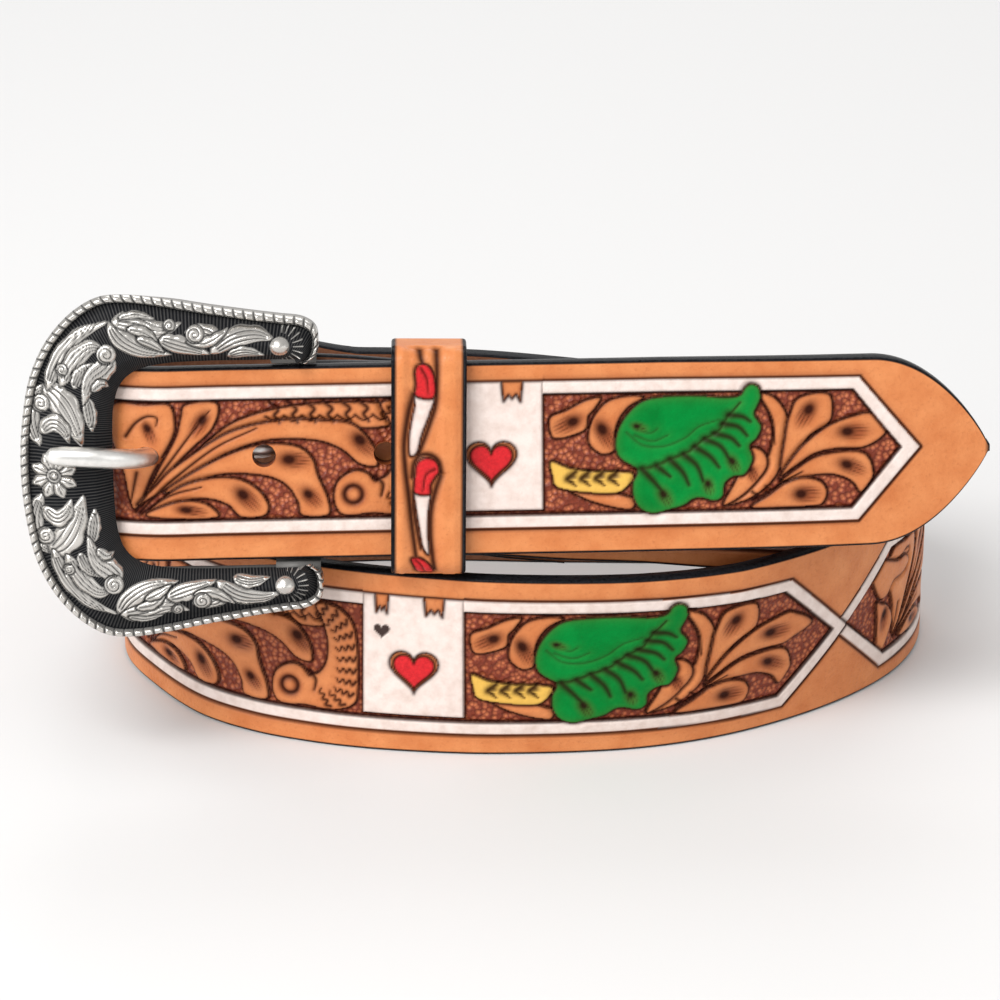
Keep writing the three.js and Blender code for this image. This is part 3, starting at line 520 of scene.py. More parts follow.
GREEN_HOLLOWS = [((49.6, 10.8), 60, 2.2, 1.2), ((41.2, 12.8), 75, 1.8, 1.1), ((36.4, 17.2), 60, 2, 1.1),
                 ((54.6, 24.8), 20, 1.6, 0.8)]

YELLOW_STEM = [
    (71.6, 18.4), (71.4, 15.4), (70.2, 13.0), (63.8, 11.9), (59, 11.8), (56.9, 13.0), (55.6, 14.8),
    (56.2, 15.9), (59, 16.1), (63.8, 16.3), (67.9, 17.0),
]
CHEVRONS = (67.9, 65.2, 62.4, 59.7)

SIDE_LEAVES = [
    ([(71.8, 27), (68.5, 28.5), (65, 30.3), (62, 30.8), (62.9, 28.8), (64.4, 27), (64.7, 24.7), (67.3, 23.4),
      (70.3, 22.8), (71.6, 23.6)], [((68.2, 25.7), 155, 3.1, 1.7)]),
    ([(64.4, 22.2), (64.1, 25.2), (62.6, 28.2), (60.2, 30.3), (56, 31.1), (53.7, 30.5), (56.6, 28.8),
      (58.4, 26.4), (59.3, 23.4), (59.3, 20.4), (61.4, 19.5), (63.2, 20.4)], [((61.2, 23.6), 60, 3.4, 1.8)]),
    ([(69.7, 13.4), (63.8, 10.2), (56.6, 8.5), (55.6, 10.6), (59, 11.7), (63.8, 12.2)], []),
]
END_STEM = [(31.6, 31), (28.6, 30.4), (26.2, 27), (25.6, 22), (26.8, 17.5), (29, 13.5), (33, 10.3), (38, 8.8),
            (35.2, 11.5), (31.6, 15), (29.4, 19.5), (28.8, 24), (29.8, 27.5)]
END_LEAVES = [
    ([(33, 20.3), (30.6, 19.6), (29.8, 17), (31.5, 14), (35, 10.6), (38.4, 9), (36.5, 13), (34.6, 16.6)],
     [((33, 15.6), 60, 2.5, 1.3)]),
    ([(25.6, 26.9), (23.7, 30.3), (17.9, 30.8), (17.6, 25.4), (21.8, 22.3), (27, 15.5), (26.4, 22.9)],
     [((22.3, 27), 121, 3, 1.7)]),
    ([(27.3, 14.6), (24.5, 18.9), (21.8, 21.8), (17.9, 24.6), (13.4, 26.3), (9.5, 26.8), (6.6, 23.5), (8.4,
                                                                                                       21.2),
      (11.8, 19.8), (16.2, 19.8), (20.6, 18.9), (24.5, 16.3)], [((13.2, 23.2), 0, 3.3, 1.7)]),
    ([(27.3, 13.5), (24.5, 15.8), (20.6, 18.3), (16.2, 19.2), (11.8, 19.2), (9.8, 17.7), (9, 14.9), (9.5,
                                                                                                     13.2),
      (11.5, 10.9), (13.4, 13.2), (16.8, 14.6), (20.6, 14.6), (24.5, 13.7)], [((13.4, 16.2), 23, 3.1, 1.6)]),
    ([(32.9, 8.4), (29.5, 10.9), (26.2, 13.2), (22.9, 14.2), (19.5, 13.5), (18.1, 11.5), (18.7, 9.2), (20.4,
                                                                                                       8.4),
      (26.2, 8.3)], [((22.3, 10.9), 0, 3, 1.8)]),
]
END_CUTS = [[(32.6, 9.8), (29.6, 11.2), (26.4, 13.4), (23, 15.4)], [(31.4, 30.4), (29, 26), (28.4, 21)]]
# The far end of a panel, measured from its own apex there
FAR_LEAVES = [
    ([(9, 27.4), (10.4, 29.8), (14, 29.5), (19, 27.6), (23, 27.4), (25, 25.4), (22, 23.6), (18, 23.4),
      (15.4, 21), (12.4, 21.4)], []),
    ([(11.6, 20.6), (13.8, 19.8), (16.6, 18.3), (18.4, 14.6), (16.4, 10.2), (14, 8), (12.6, 11), (12.2, 16)],
     [((15, 16), 100, 3, 1.5)]),
]


def heart_loop(place, size):
    t = np.linspace(0, 2 * np.pi, 60, endpoint=False)
    x = 16 * np.sin(t) ** 3
    y = 13 * np.cos(t) - 5 * np.cos(2 * t) - 2 * np.cos(3 * t) - np.cos(4 * t)
    return np.stack([place[0] + x / 16 * size, place[1] + (y + 2) / 16 * size], 1)


def border_distance(k, half, tip, corner, u, v):
    """Distance from a border of panel k, from its right tip over its top to its far tip and back."""
    low, high = PANEL_MIDDLE - half, PANEL_MIDDLE + half
    near = corner + (MEETING_STRETCH if k else 0)
    far = PANEL_LENGTH - corner - MEETING_STRETCH
    outline = [(tip, PANEL_MIDDLE), (near, high), (far, high),
               (PANEL_LENGTH - tip, PANEL_MIDDLE), (far, low), (near, low)]
    return loop_distance(np.array(outline), u, v)


def panel_frame(k, distance, v):
    """For panel k: distance from its apex, its own lowered height, and its carving's own measure along."""
    u = distance - FIRST_APEX - k * PANEL_LENGTH
    lowered = v + np.interp(u, DROP_PLACES, PANEL_DROPS[k])
    # The carving's own measure leaves out the shift, which the first and last stretches take up.
    return u, lowered, u - OUTER_TIP - np.interp(u, SHIFT_PLACES, PANEL_SHIFTS[k])


def carve_panel(carving, k):
    """The field of panel k. The carving's u is the distance from the belt's tip."""
    u, v, measure = panel_frame(k, carving.u, carving.v)
    field = border_distance(k, INNER_HALF, INNER_TIP, INNER_CORNER, u, v) < 0
    if not field.any():
        return
    part = Carving(measure[field], v[field])
    part.dye(np.arange(field.sum()), "bg")
    part.depth[:] = -0.6
    part.burn[:] = 0.25
    for offset in (FAN_REPEAT, 0.0):
        for points, spots in FAN:
            part.motif([(x + offset, y) for x, y in points])
            for place, way, length, width in spots:
                part.spot((place[0] + offset, place[1]), way, length, width)
        for path in FAN_CUTS:
            part.knife([(x + offset, y) for x, y in path], width=0.34)
        for x in SCALLOPS:
            part.knife([(x + offset + 1, 31), (x + offset - 0.7, 29.6), (x + offset, 28.4),
                        (x + offset - 0.9, 27)], width=0.42,
                       taper=0.3)
            part.knife([(x + offset + 1.7, 28.2), (x + offset, 27.2), (x + offset - 1.5, 27.9)], width=0.26)
    part.motif(SCALLOP_LEAF)
    part.knife(SLIT, width=0.5, depth=0.4)
    for (x, y), way in ZIGZAGS:
        c, s = cosine(way), sine(way)
        steps = [(ZIGZAG_LENGTH * i / 6, 0.42 * (-1) ** i) for i in range(7)]
        part.knife([(x + a * c - b * s, y + a * s + b * c) for a, b in steps], width=0.36)
    away = np.hypot(part.u - FLOWER[0], part.v - FLOWER[1])
    eye = np.exp(-(((away - 1.7) / 0.55) ** 2))
    part.depth -= 0.42 * eye * (away < 4)
    part.cut = np.maximum(part.cut, eye * (away < 4))
    part.burn = np.maximum(part.burn, np.exp(-(((away - 1.7) / 1.1) ** 2)) * (away < 4))
    for points, spots in SIDE_LEAVES:
        part.motif(points)
        for spot in spots:
            part.spot(*spot)
    part.motif(END_STEM)
    for points, spots in END_LEAVES:
        part.motif(points)
        for spot in spots:
            part.spot(*spot)
    for path in END_CUTS:
        part.knife(path, width=0.34)
    for x, y in ((32, 10.6), (29.4, 11.7), (26.8, 13.1)):
        part.knife([(x + 0.7, y + 0.9), (x - 0.4, y), (x + 0.9, y - 0.5)], width=0.3)
    far = PANEL_LENGTH - OUTER_TIP
    for points, spots in FAR_LEAVES:
        part.motif([(far - x, y) for x, y in points])
        for place, way, length, width in spots:
            part.spot((far - place[0], place[1]), way, length, width)
    part.motif(YELLOW_STEM, colour="yellow")
    for x in CHEVRONS:
        part.knife([(x - 1.1, 16.2), (x + 0.5, 14.7), (x - 1.1, 13.4)], width=0.5)
        part.knife([(x - 0.5, 15.4), (x + 0.6, 14.7), (x - 0.5, 14.1)], width=0.75)
    carving.put_back(field, part)
    carve_card(carving, measure, v)


def carve_green(part):
    part.motif(GREEN_LEAF, colour="green", bevel=0.6)
    part.knife(GREEN_MIDLINE, width=0.42, depth=0.4, dark=0.75)
    for path in GREEN_VEINS:
        part.knife(path, width=0.24, depth=0.22, dark=0.45, soft=0.3)
    for path in GREEN_RIBS:
        part.knife(path, width=0.72, depth=0.36, dark=0.95, soft=0.4)
    for place, way, length, width in GREEN_HOLLOWS:
        part.spot(place, way, length, width)


def carve_card(carving, measure, v):
    """The playing card covers the field, and its top edge covers the white line."""
    card = (measure > CARD_RIGHT) & (measure < CARD_LEFT) & (v > CARD_LOW) & (v < CARD_HIGH)
    if not card.any():
        return
    edge = np.minimum(np.minimum(measure - CARD_RIGHT, CARD_LEFT - measure),
                      np.minimum(v - CARD_LOW, CARD_HIGH - v))
    rim = np.abs(edge) < 0.9
    close = rim & (measure > CARD_RIGHT - 1) & (measure < CARD_LEFT + 1)
    part = Carving(measure[card], v[card])
    part.dye(np.arange(card.sum()), "white")
    part.depth = -0.05 - 0.12 * np.exp(-edge[card] / 0.3)
    for x, w in NOTCHES:
        notch = [(x + 1.8 * w, 34.6), (x + 1.6 * w, 32.2), (x + 1.4 * w, 30.4), (x + 0.6 * w, 31.6), (x,
                                                                                                      30.9),
                 (x - 0.7 * w, 31.7), (x - 1.4 * w, 30.3), (x - 1.6 * w, 32.4), (x - 1.8 * w, 34.6)]
        part.motif(notch, colour=None, closed_smooth=False, level=-0.28, bevel=0.2, reach=0.5)
    heart = heart_loop(HEART, HEART_SIZE)
    part.motif(heart_loop(HEART, HEART_SIZE + 0.75), colour=None, closed_smooth=False, level=-0.08,
               bevel=0.25, reach=0.5, burn=0.7)
    part.motif(heart, colour="red", closed_smooth=False, level=0.0, bevel=0.15, reach=0.4, burn=0.35)
    pip = heart_loop(PIP, PIP_SIZE)
    distance = loop_distance(pip, part.u, part.v)
    part.cut = np.maximum(part.cut, np.clip(0.5 - distance / 0.2, 0, 1))
    part.depth -= 0.12 * np.clip(0.5 - distance / 0.3, 0, 1)
    carving.put_back(card, part)
    line = np.exp(-((edge[close] / 0.34) ** 2))
    carving.cut[close] = np.maximum(carving.cut[close], line)
    carving.depth[close] -= 0.2 * line
    carving.burn[close] = np.maximum(carving.burn[close], 0.6 * line)


def carve_strap(distance, v, low, high):
    """The whole face of the strap at distances from its tip."""
    carving = Carving(distance, v)
    for k in range(PANEL_COUNT):
        start = FIRST_APEX + k * PANEL_LENGTH
        if distance.max() < start - 3 or distance.min() > start + PANEL_LENGTH + 3:
            continue
        carve_panel(carving, k)
    for k in range(PANEL_COUNT):
        start = FIRST_APEX + k * PANEL_LENGTH
        if distance.max() < start - 3 or distance.min() > start + PANEL_LENGTH + 3:
            continue
        u, lowered, measure = panel_frame(k, distance, v)
        outer = border_distance(k, OUTER_HALF, OUTER_TIP, OUTER_CORNER, u, lowered)
        inner = border_distance(k, INNER_HALF, INNER_TIP, INNER_CORNER, u, lowered)
        on_card = (measure > CARD_RIGHT) & (measure < CARD_LEFT) & (lowered > 20)
        band = (outer < 0) & (inner > 0) & ~on_card
        carving.dye(np.nonzero(band)[0], "white")
        carving.depth[band] = -0.04
        carving.burn[band] = 0
        carving.cut[band] = 0
        for side, wide in ((outer - 0.22, 0.36), (inner + 0.12, 0.4)):
            line = np.exp(-((side / wide) ** 4)) * ~on_card
            carving.cut = np.maximum(carving.cut, line)
            carving.depth -= 0.26 * line
            shade = np.exp(-np.abs(side) / 0.7) * 0.7 * ~on_card * ~band
            carving.burn = np.maximum(carving.burn, shade)
        leaf = (measure > 28) & (measure < 62)
        if leaf.any():
            part = carving.piece(leaf, measure)
            part.v = lowered[leaf]
            carve_green(part)
            carving.put_back(leaf, part)
    to_edge = np.minimum(np.minimum(v - low, high - v), 0.7 * distance)
    carving.edge = np.clip(1.25 - to_edge / 0.55, 0, 1)
    return carving


# Meshes
HOLE_SIDES = 40


def add_object(name, points, faces, masks, smooth=True):
    mesh = bpy.data.meshes.new(name)
    points = np.asarray(points, np.float64) * MM
    mesh.vertices.add(len(points))
    mesh.vertices.foreach_set("co", points.astype(np.float32).ravel())
    sizes = np.array([len(f) for f in faces], np.int32) if isinstance(faces, list) else None
    if sizes is None:
        loops = faces.astype(np.int32).ravel()
        sizes = np.full(len(faces), faces.shape[1], np.int32)
    else:
        loops = np.concatenate([np.asarray(f, np.int32) for f in faces])
    mesh.loops.add(len(loops))
    mesh.loops.foreach_set("vertex_index", loops)
    mesh.polygons.add(len(sizes))
    mesh.polygons.foreach_set("loop_start", np.concatenate([[0], np.cumsum(sizes)[:-1]]).astype(np.int32))
    mesh.polygons.foreach_set("loop_total", sizes)
    mesh.update(calc_edges=True)
    mesh.validate()
    for key, values in masks.items():
        layer = mesh.attributes.new(key, "FLOAT", "POINT")
        layer.data.foreach_set("value", np.asarray(values, np.float32))
    mesh.polygons.foreach_set("use_smooth", np.full(len(mesh.polygons), smooth))
    piece = bpy.data.objects.new(name, mesh)
    bpy.context.scene.collection.objects.link(piece)
    return piece


def cut_hole(grid_s, grid_v, keep, hole):
    """Snaps the vertices round an oval hole on to it, and drops the faces within."""
    centre_s, centre_v, wide, high = hole
    ds = (grid_s - centre_s) / wide
    dv = (grid_v - centre_v) / high
    r = np.hypot(ds, dv)
    inside = r < 1
    dropped = inside[:-1, :-1] & inside[1:, :-1] & inside[1:, 1:] & inside[:-1, 1:]
    keep &= ~dropped
    scale = np.where(inside & (r > 0.02), 1 / np.maximum(r, 0.02), 1)
    grid_s[inside] = (centre_s + ds * scale * wide)[inside]
    grid_v[inside] = (centre_v + dv * scale * high)[inside]


def strap_piece(name, from_tip_low, from_tip_high, step, field_step, holes=(), slot=None):
    """A stretch of strap between two distances from the tip, as one closed section swept along the line."""
    count = max(2, int(round((from_tip_high - from_tip_low) / step)) + 1)
    from_tip = np.linspace(from_tip_high, from_tip_low, count)
    if from_tip_low <= 0:
        from_tip = np.concatenate([from_tip[from_tip > 2.5], np.linspace(2.5, 0, 14)])
        count = len(from_tip)
    distance = STRAP_LENGTH - from_tip
    # Lines up the width: coarse margins, a fine field
    margin = np.array([0.7, 1.0, 1.4, 2.0, 2.7, 3.1, 3.5, 3.9, 4.3])
    field = np.arange(4.7, STRAP_WIDTH - 3.5, field_step)
    front_v = np.concatenate([margin, field, [34.9, 35.6, 36.2, 36.7, 37, 37.3]])
    back_v = np.array([0.7, 3, 7, 11, 15, 17.1, 18.2, 19.4, 20.6, 21.8, 23, 24.1, 27, 31, 35, 37.3])
    if slot is not None:
        front_v = np.unique(np.concatenate([front_v[::6], [slot[2], slot[3], 0.7, 37.3]]))
        back_v = front_v.copy()
    q = np.clip(np.maximum(from_tip, 0) / TIP_LENGTH, 0, 1)
    half = np.maximum(TIP_ROUND / 2, STRAP_WIDTH / 2 * np.sin(np.pi / 2 * q ** TIP_FULLNESS))
    half = np.where(from_tip < TIP_LENGTH, half, STRAP_WIDTH / 2)
    place, up, out, thick = strap_frames(distance)
    bevel = np.minimum(EDGE_BEVEL, np.minimum(thick / 2, half) * 0.6)

    def across(lines):
        share = (lines - 0.7) / (STRAP_WIDTH - 1.4) * 2 - 1
        return STRAP_WIDTH / 2 + share[None, :] * (half - bevel)[:, None]

    front = across(front_v)
    back = across(back_v)
    front_s = np.repeat(distance[:, None], len(front_v), 1)
    back_s = np.repeat(distance[:, None], len(back_v), 1)
    keep_front = np.ones((count - 1, len(front_v) - 1), bool)
    keep_back = np.ones((count - 1, len(back_v) - 1), bool)
    for front_hole, back_hole in holes:
        cut_hole(front_s, front, keep_front, front_hole)
        cut_hole(back_s, back, keep_back, back_hole)
    low = STRAP_WIDTH / 2 - half
    high = STRAP_WIDTH / 2 + half
    carving = carve_strap((STRAP_LENGTH - front_s).ravel(), front.ravel(),
                          np.repeat(low, len(front_v)), np.repeat(high, len(front_v)))
    depth = np.minimum(0, carving.depth)

    def lay(s, v, lift):
        p, u, o, t = strap_frames(s.ravel())
        return p + u * v.ravel()[:, None] + o * (lift(t))[:, None]

    points = [lay(front_s, front, lambda t: t / 2 + depth)]
    points.append(lay(back_s, back, lambda t: -t / 2))
    front_count, back_count = front.size, back.size
    index_front = np.arange(front_count).reshape(front.shape)
    index_back = np.arange(back_count).reshape(back.shape) + front_count
    masks = {m: [getattr(carving, m), np.zeros(back_count)] for m in Carving.MASKS}
    edge_rows = []
    side = [np.zeros(front_count), np.ones(back_count)]
    total = front_count + back_count
    faces = []

    def quads(a, b, c, d, keep=None):
        block = np.stack([a, b, c, d], -1)
        faces.append(block[keep] if keep is not None else block.reshape(-1, 4))

    quads(index_front[:-1, :-1], index_front[1:, :-1], index_front[1:, 1:], index_front[:-1, 1:], keep_front)
    quads(index_back[:-1, :-1], index_back[:-1, 1:], index_back[1:, 1:], index_back[1:, :-1], keep_back)
    # Rounded edges, black all round
    turn = np.radians([22.5, 45, 67.5])
    for rise, edge, edge_front, edge_back in ((1, high, index_front[:, -1], index_back[:, -1]),
                                              (-1, low, index_front[:, 0], index_back[:, 0])):
        rows = [edge_front]
        spots = [(1, a) for a in turn] + [(0, 0)] + [(-1, a) for a in turn[::-1]]
        for facing, angle in spots:
            if facing:
                proud = facing * (thick / 2 - bevel + bevel * math.cos(angle))
                v = edge - rise * bevel * (1 - math.sin(angle))
            else:
                proud = 0 * thick
                v = edge
            points.append(place + up * v[:, None] + out * proud[:, None])
            rows.append(np.arange(count) + total)
            total += count
            for m in Carving.MASKS:
                masks[m].append(np.ones(count) if m == "edge" else np.zeros(count))
            side.append(np.zeros(count))
        rows.append(edge_back)
        edge_rows.append(rows[1:-1])
        for a, b in zip(rows[:-1], rows[1:]):
            if rise > 0:
                quads(a[:-1], a[1:], b[1:], b[:-1])
            else:
                quads(a[:-1], b[:-1], b[1:], a[1:])
    # Walls through the holes, with painted shade: burnished brown all over and near-black growing deeper in
    for (fs, fv, fw, fh), (bs, bv, bw, bh) in holes:
        turn_round = np.arange(HOLE_SIDES) / HOLE_SIDES * 2 * np.pi
        rings = []
        for share in (0, 0.5, 1):
            s = fs + (bs - fs) * share + (fw + (bw - fw) * share) * np.cos(turn_round)
            v = fv + (bv - fv) * share + (fh + (bh - fh) * share) * np.sin(turn_round)
            points.append(lay(s, v, lambda t: t * (0.5 - share) * 0.995))
            rings.append(np.arange(HOLE_SIDES) + total)
            total += HOLE_SIDES
            for m in Carving.MASKS:
                hole_shade = {"burn": 1.0, "cut": 0.25 + 0.75 * share}.get(m, 0.0)
                masks[m].append(np.full(HOLE_SIDES, hole_shade))
            side.append(np.zeros(HOLE_SIDES))
        for a, b in zip(rings[:-1], rings[1:]):
            quads(a, np.roll(a, -1), np.roll(b, -1), b)
    points = np.concatenate(points)
    high_rows, low_rows = edge_rows
    at_tip = np.concatenate([index_front[-1], [r[-1] for r in high_rows], index_back[-1, ::-1],
                             [r[-1] for r in low_rows[::-1]]])
    if slot is not None:
        return points, index_front, index_back, faces, masks, side, front_s, front, slot, name
    faces = np.concatenate(faces)
    if from_tip_low <= 0:
        faces = list(faces) + [at_tip]
    return strap_object(name, points, faces, masks, side)


def strap_object(name, points, faces, masks, side):
    corners = np.concatenate(faces) if isinstance(faces, list) else faces
    used = np.unique(corners)
    renumber = np.full(len(points), -1)
    renumber[used] = np.arange(len(used))
    values = {m: np.concatenate(v)[used] for m, v in masks.items()}
    values["flesh"] = np.concatenate(side)[used]
    faces = [renumber[f] for f in faces] if isinstance(faces, list) else renumber[faces]
    return add_object(name, points[used], faces, values)


def slotted_piece(name, from_tip_low, from_tip_high, step):
    """The strap's plain start and its fold, with the slot that the prong's ring turns in."""
    right = BAR_DIAMETER / 2 + PRONG_RING_WALL + BAR_PLAY + SLOT_EASE
    low, high = HOLE_LINE - SLOT_HEIGHT / 2, HOLE_LINE + SLOT_HEIGHT / 2
    parts = strap_piece(name, from_tip_low, from_tip_high, step, 2.0, slot=(right, SLOT_LENGTH, low, high))
    points, index_front, index_back, faces, masks, side, grid_s, grid_v, _, _ = parts
    local = (points - FRONT_PLACE - COIL_SHIFT) @ FRONT_TURN
    front_faces = faces[0]
    back_faces = faces[1]

    def within(quad):
        middle = local[quad].mean(1)
        across = (middle[:, 2] > low - 0.01) & (middle[:, 2] < high + 0.01)
        along = (middle[:, 0] < right) & (middle[:, 0] > right - SLOT_LENGTH)
        return across & along & (middle[:, 1] > START_FRONT - 0.5)

    gone_front = within(front_faces)
    # A wall stands where a kept face meets a dropped one.
    shift = index_back.ravel()[0] - index_front.ravel()[0]
    walls = []
    dropped = set()
    for quad in front_faces[gone_front]:
        for a, b in zip(quad, np.roll(quad, -1)):
            dropped.add((int(a), int(b)))
    for a, b in dropped:
        if (b, a) not in dropped:
            walls.append((a, b, b + shift, a + shift))
    gone_back = np.isin(np.sort(back_faces - shift, 1).view("i8,i8,i8,i8").ravel(),
                        np.sort(front_faces[gone_front], 1).view("i8,i8,i8,i8").ravel())
    faces[0] = front_faces[~gone_front]
    faces[1] = back_faces[~gone_back]
    if walls:
        faces.append(np.array(walls))
    return strap_object(name, points, np.concatenate(faces), masks, side)


USED_AT = OVERHANG + BAR_TO_HOLE
R_HOLE = HOLE_DIAMETER / 2


def round_hole(from_tip):
    at = STRAP_LENGTH - from_tip
    return ((at, HOLE_LINE, R_HOLE, R_HOLE), (at, HOLE_LINE, R_HOLE, R_HOLE))


# Distances from the tip at which one stretch of strap ends and the next begins
TIP_END, LEFT_END, OUTER_END, FRONT_END, INNER_END = 175, 330, 460, 665, 960
plain_holes = [round_hole(USED_AT - (USED_HOLE - i) * HOLE_PITCH)
               for i in range(HOLE_COUNT) if i != USED_HOLE]
used_hole = ((STRAP_LENGTH - USED_AT + 1.1, HOLE_LINE + 0.2, 2.2, 1.95),
             (STRAP_LENGTH - USED_AT + 4.2, HOLE_LINE, 3.3, 2.2))
first_holes = [h for h in plain_holes if STRAP_LENGTH - h[0][0] < TIP_END] + [used_hole]
second_holes = [h for h in plain_holes if STRAP_LENGTH - h[0][0] >= TIP_END]

strap_tip = strap_piece("strap_tip", 0, TIP_END, 0.3, 0.3, holes=first_holes)
strap_left = strap_piece("strap_left", TIP_END, LEFT_END, 0.45, 0.42, holes=second_holes)
strap_rear_outer = strap_piece("strap_rear_outer", LEFT_END, OUTER_END, 0.45, 0.42)
strap_front = strap_piece("strap_front", OUTER_END, FRONT_END, 0.33, 0.3)
strap_rear_inner = strap_piece("strap_rear_inner", FRONT_END, INNER_END, 0.5, 0.45)
strap_start = slotted_piece("strap_start", INNER_END, STRAP_LENGTH, 0.8)
strap_pieces = [strap_tip, strap_left, strap_rear_outer, strap_front, strap_rear_inner, strap_start]

# Materials


class Nodes:
    """A short way to write a material's nodes."""

    def __init__(self, name):
        self.material = bpy.data.materials.new(name)
        self.material.use_nodes = True
        self.tree = self.material.node_tree
        self.tree.nodes.clear()
        self.shader = self.tree.nodes.new("ShaderNodeBsdfPrincipled")
        output = self.tree.nodes.new("ShaderNodeOutputMaterial")
        self.tree.links.new(self.shader.outputs[0], output.inputs[0])
        self.space = self.tree.nodes.new("ShaderNodeTexCoord").outputs["Object"]

    def link(self, value, socket):
        if hasattr(value, "links"):
            self.tree.links.new(value, socket)
        else:
            socket.default_value = value

    def math(self, operation, a, b=0.0, clamp=False):
        node = self.tree.nodes.new("ShaderNodeMath")
        node.operation = operation
        node.use_clamp = clamp
        self.link(a, node.inputs[0])
        self.link(b, node.inputs[1])
        return node.outputs[0]

    def attribute(self, name):
        node = self.tree.nodes.new("ShaderNodeAttribute")
        node.attribute_name = name
        return node.outputs["Fac"]

    def noise(self, scale, detail=3, rough=0.55):
        node = self.tree.nodes.new("ShaderNodeTexNoise")
        node.inputs["Scale"].default_value = scale
        node.inputs["Detail"].default_value = detail
        node.inputs["Roughness"].default_value = rough
        self.link(self.space, node.inputs["Vector"])
        return node.outputs["Fac"]

    def cells(self, scale, feature="F1"):
        node = self.tree.nodes.new("ShaderNodeTexVoronoi")
        node.feature = feature
        node.inputs["Scale"].default_value = scale
        self.link(self.space, node.inputs["Vector"])
        return node.outputs["Distance"]

    def ramp(self, value, low, high):
        node = self.tree.nodes.new("ShaderNodeMapRange")
        self.link(value, node.inputs["Value"])
        node.inputs["From Min"].default_value = low
        node.inputs["From Max"].default_value = high
        return node.outputs[0]

    def mix(self, share, a, b):
        node = self.tree.nodes.new("ShaderNodeMix")
        node.data_type = "RGBA"
        self.link(share, node.inputs[0])
        self.link(a, node.inputs[6])
        self.link(b, node.inputs[7])
        return node.outputs[2]

    def bump(self, height, strength, distance, normal=None):
        node = self.tree.nodes.new("ShaderNodeBump")
        node.inputs["Strength"].default_value = strength
        node.inputs["Distance"].default_value = distance
        self.link(height, node.inputs["Height"])
        if normal is not None:
            self.link(normal, node.inputs["Normal"])
        return node.outputs[0]


def colour(r, g, b):
    """A screen colour as the linear one that a shader takes."""
    def linear(c):
        c = c / 255
        return c / 12.92 if c <= 0.04045 else ((c + 0.055) / 1.055) ** 2.4
    return (linear(r), linear(g), linear(b), 1.0)


def leather_material(name):
    n = Nodes(name)
    bg, white = n.attribute("bg"), n.attribute("white")
    green, yellow, red = n.attribute("green"), n.attribute("yellow"), n.attribute("red")
    cut, burn = n.attribute("cut"), n.attribute("burn")
    edge, flesh = n.attribute("edge"), n.attribute("flesh")
    mottle = n.noise(160, 4, 0.6)
    fine = n.noise(1400, 3, 0.6)
    tan = n.mix(n.ramp(mottle, 0.3, 0.7), colour(216, 138, 84), colour(198, 116, 64))
    tan = n.mix(n.math("MULTIPLY", n.ramp(fine, 0.55, 0.8), 0.35), tan, colour(160, 82, 40))
    pebble = n.cells(950)
    ground = n.mix(n.ramp(pebble, 0.15, 0.6), colour(196, 112, 72), colour(112, 44, 26))
    base = n.mix(bg, tan, ground)
    paint = n.mix(n.ramp(n.noise(420, 3), 0.35, 0.75), colour(230, 214, 206), colour(212, 192, 182))
    base = n.mix(white, base, paint)
    base = n.mix(green, base, n.mix(n.ramp(mottle, 0.3, 0.7), colour(0, 132, 54), colour(0, 112, 42)))
    base = n.mix(yellow, base, colour(224, 178, 80))
    base = n.mix(red, base, n.mix(n.ramp(fine, 0.3, 0.7), colour(214, 32, 40), colour(186, 20, 30)))
    painted = n.math("ADD", n.math("ADD", green, white), n.math("ADD", yellow, red), clamp=True)
    # Besides the real burnish, the brown stain and the near-black of the cut lines also paint the shade
    # inside the strap's holes.
    stain_and_shade = n.math("MULTIPLY", burn, n.math("SUBTRACT", 1.0, n.math("MULTIPLY", painted, 0.72)))
    base = n.mix(n.math("MULTIPLY", stain_and_shade, 0.72), base, colour(136, 56, 24))
    base = n.mix(n.math("MULTIPLY", cut, 0.95), base, colour(34, 8, 6))
    suede = n.mix(n.ramp(n.noise(900, 4, 0.7), 0.3, 0.7), colour(132, 92, 70), colour(104, 68, 50))
    base = n.mix(flesh, base, suede)
    base = n.mix(edge, base, n.mix(n.ramp(fine, 0.3, 0.8), colour(12, 12, 14), colour(34, 34, 38)))
    n.link(base, n.shader.inputs["Base Color"])
    rough = n.math("ADD", 0.34, n.math("MULTIPLY", flesh, 0.45))
    rough = n.math("SUBTRACT", rough, n.math("MULTIPLY", edge, 0.1))
    n.link(n.math("ADD", rough, n.math("MULTIPLY", fine, 0.1)), n.shader.inputs["Roughness"])
    grain = n.math("MULTIPLY", fine, 0.35)
    knobs = n.math("MULTIPLY", n.math("MULTIPLY", bg, pebble), 1.6)
    normal = n.bump(n.math("ADD", grain, knobs), 0.9, 0.0004)
    n.link(normal, n.shader.inputs["Normal"])
    dark = n.math("MAXIMUM", n.math("MAXIMUM", edge, cut), flesh)
    dull = n.math("MULTIPLY", n.math("MAXIMUM", dark, green), 0.22)
    n.link(n.math("SUBTRACT", 0.28, dull), n.shader.inputs["Specular IOR Level"])
    return n.material


def metal_material(name, light, dark, rough, bump_scale):
    n = Nodes(name)
    # The recess mask blackens the casting's hollows, and also paints shade on the frame's walls and lugs.
    recess_and_shade = n.attribute("recess_and_shade")
    wear = n.noise(bump_scale, 3, 0.6)
    shine = n.mix(n.ramp(wear, 0.3, 0.75), light, tuple(0.86 * c for c in light[:3]) + (1.0,))
    n.link(n.mix(recess_and_shade, shine, dark), n.shader.inputs["Base Color"])
    n.link(n.math("SUBTRACT", 1.0, n.math("MULTIPLY", recess_and_shade, 0.9)), n.shader.inputs["Metallic"])
    n.shader.inputs["Specular IOR Level"].default_value = 0.06
    n.link(n.math("ADD", rough, n.math("MULTIPLY", recess_and_shade, 0.3)), n.shader.inputs["Roughness"])
    n.link(n.bump(wear, 0.12, 0.0002), n.shader.inputs["Normal"])
    return n.material


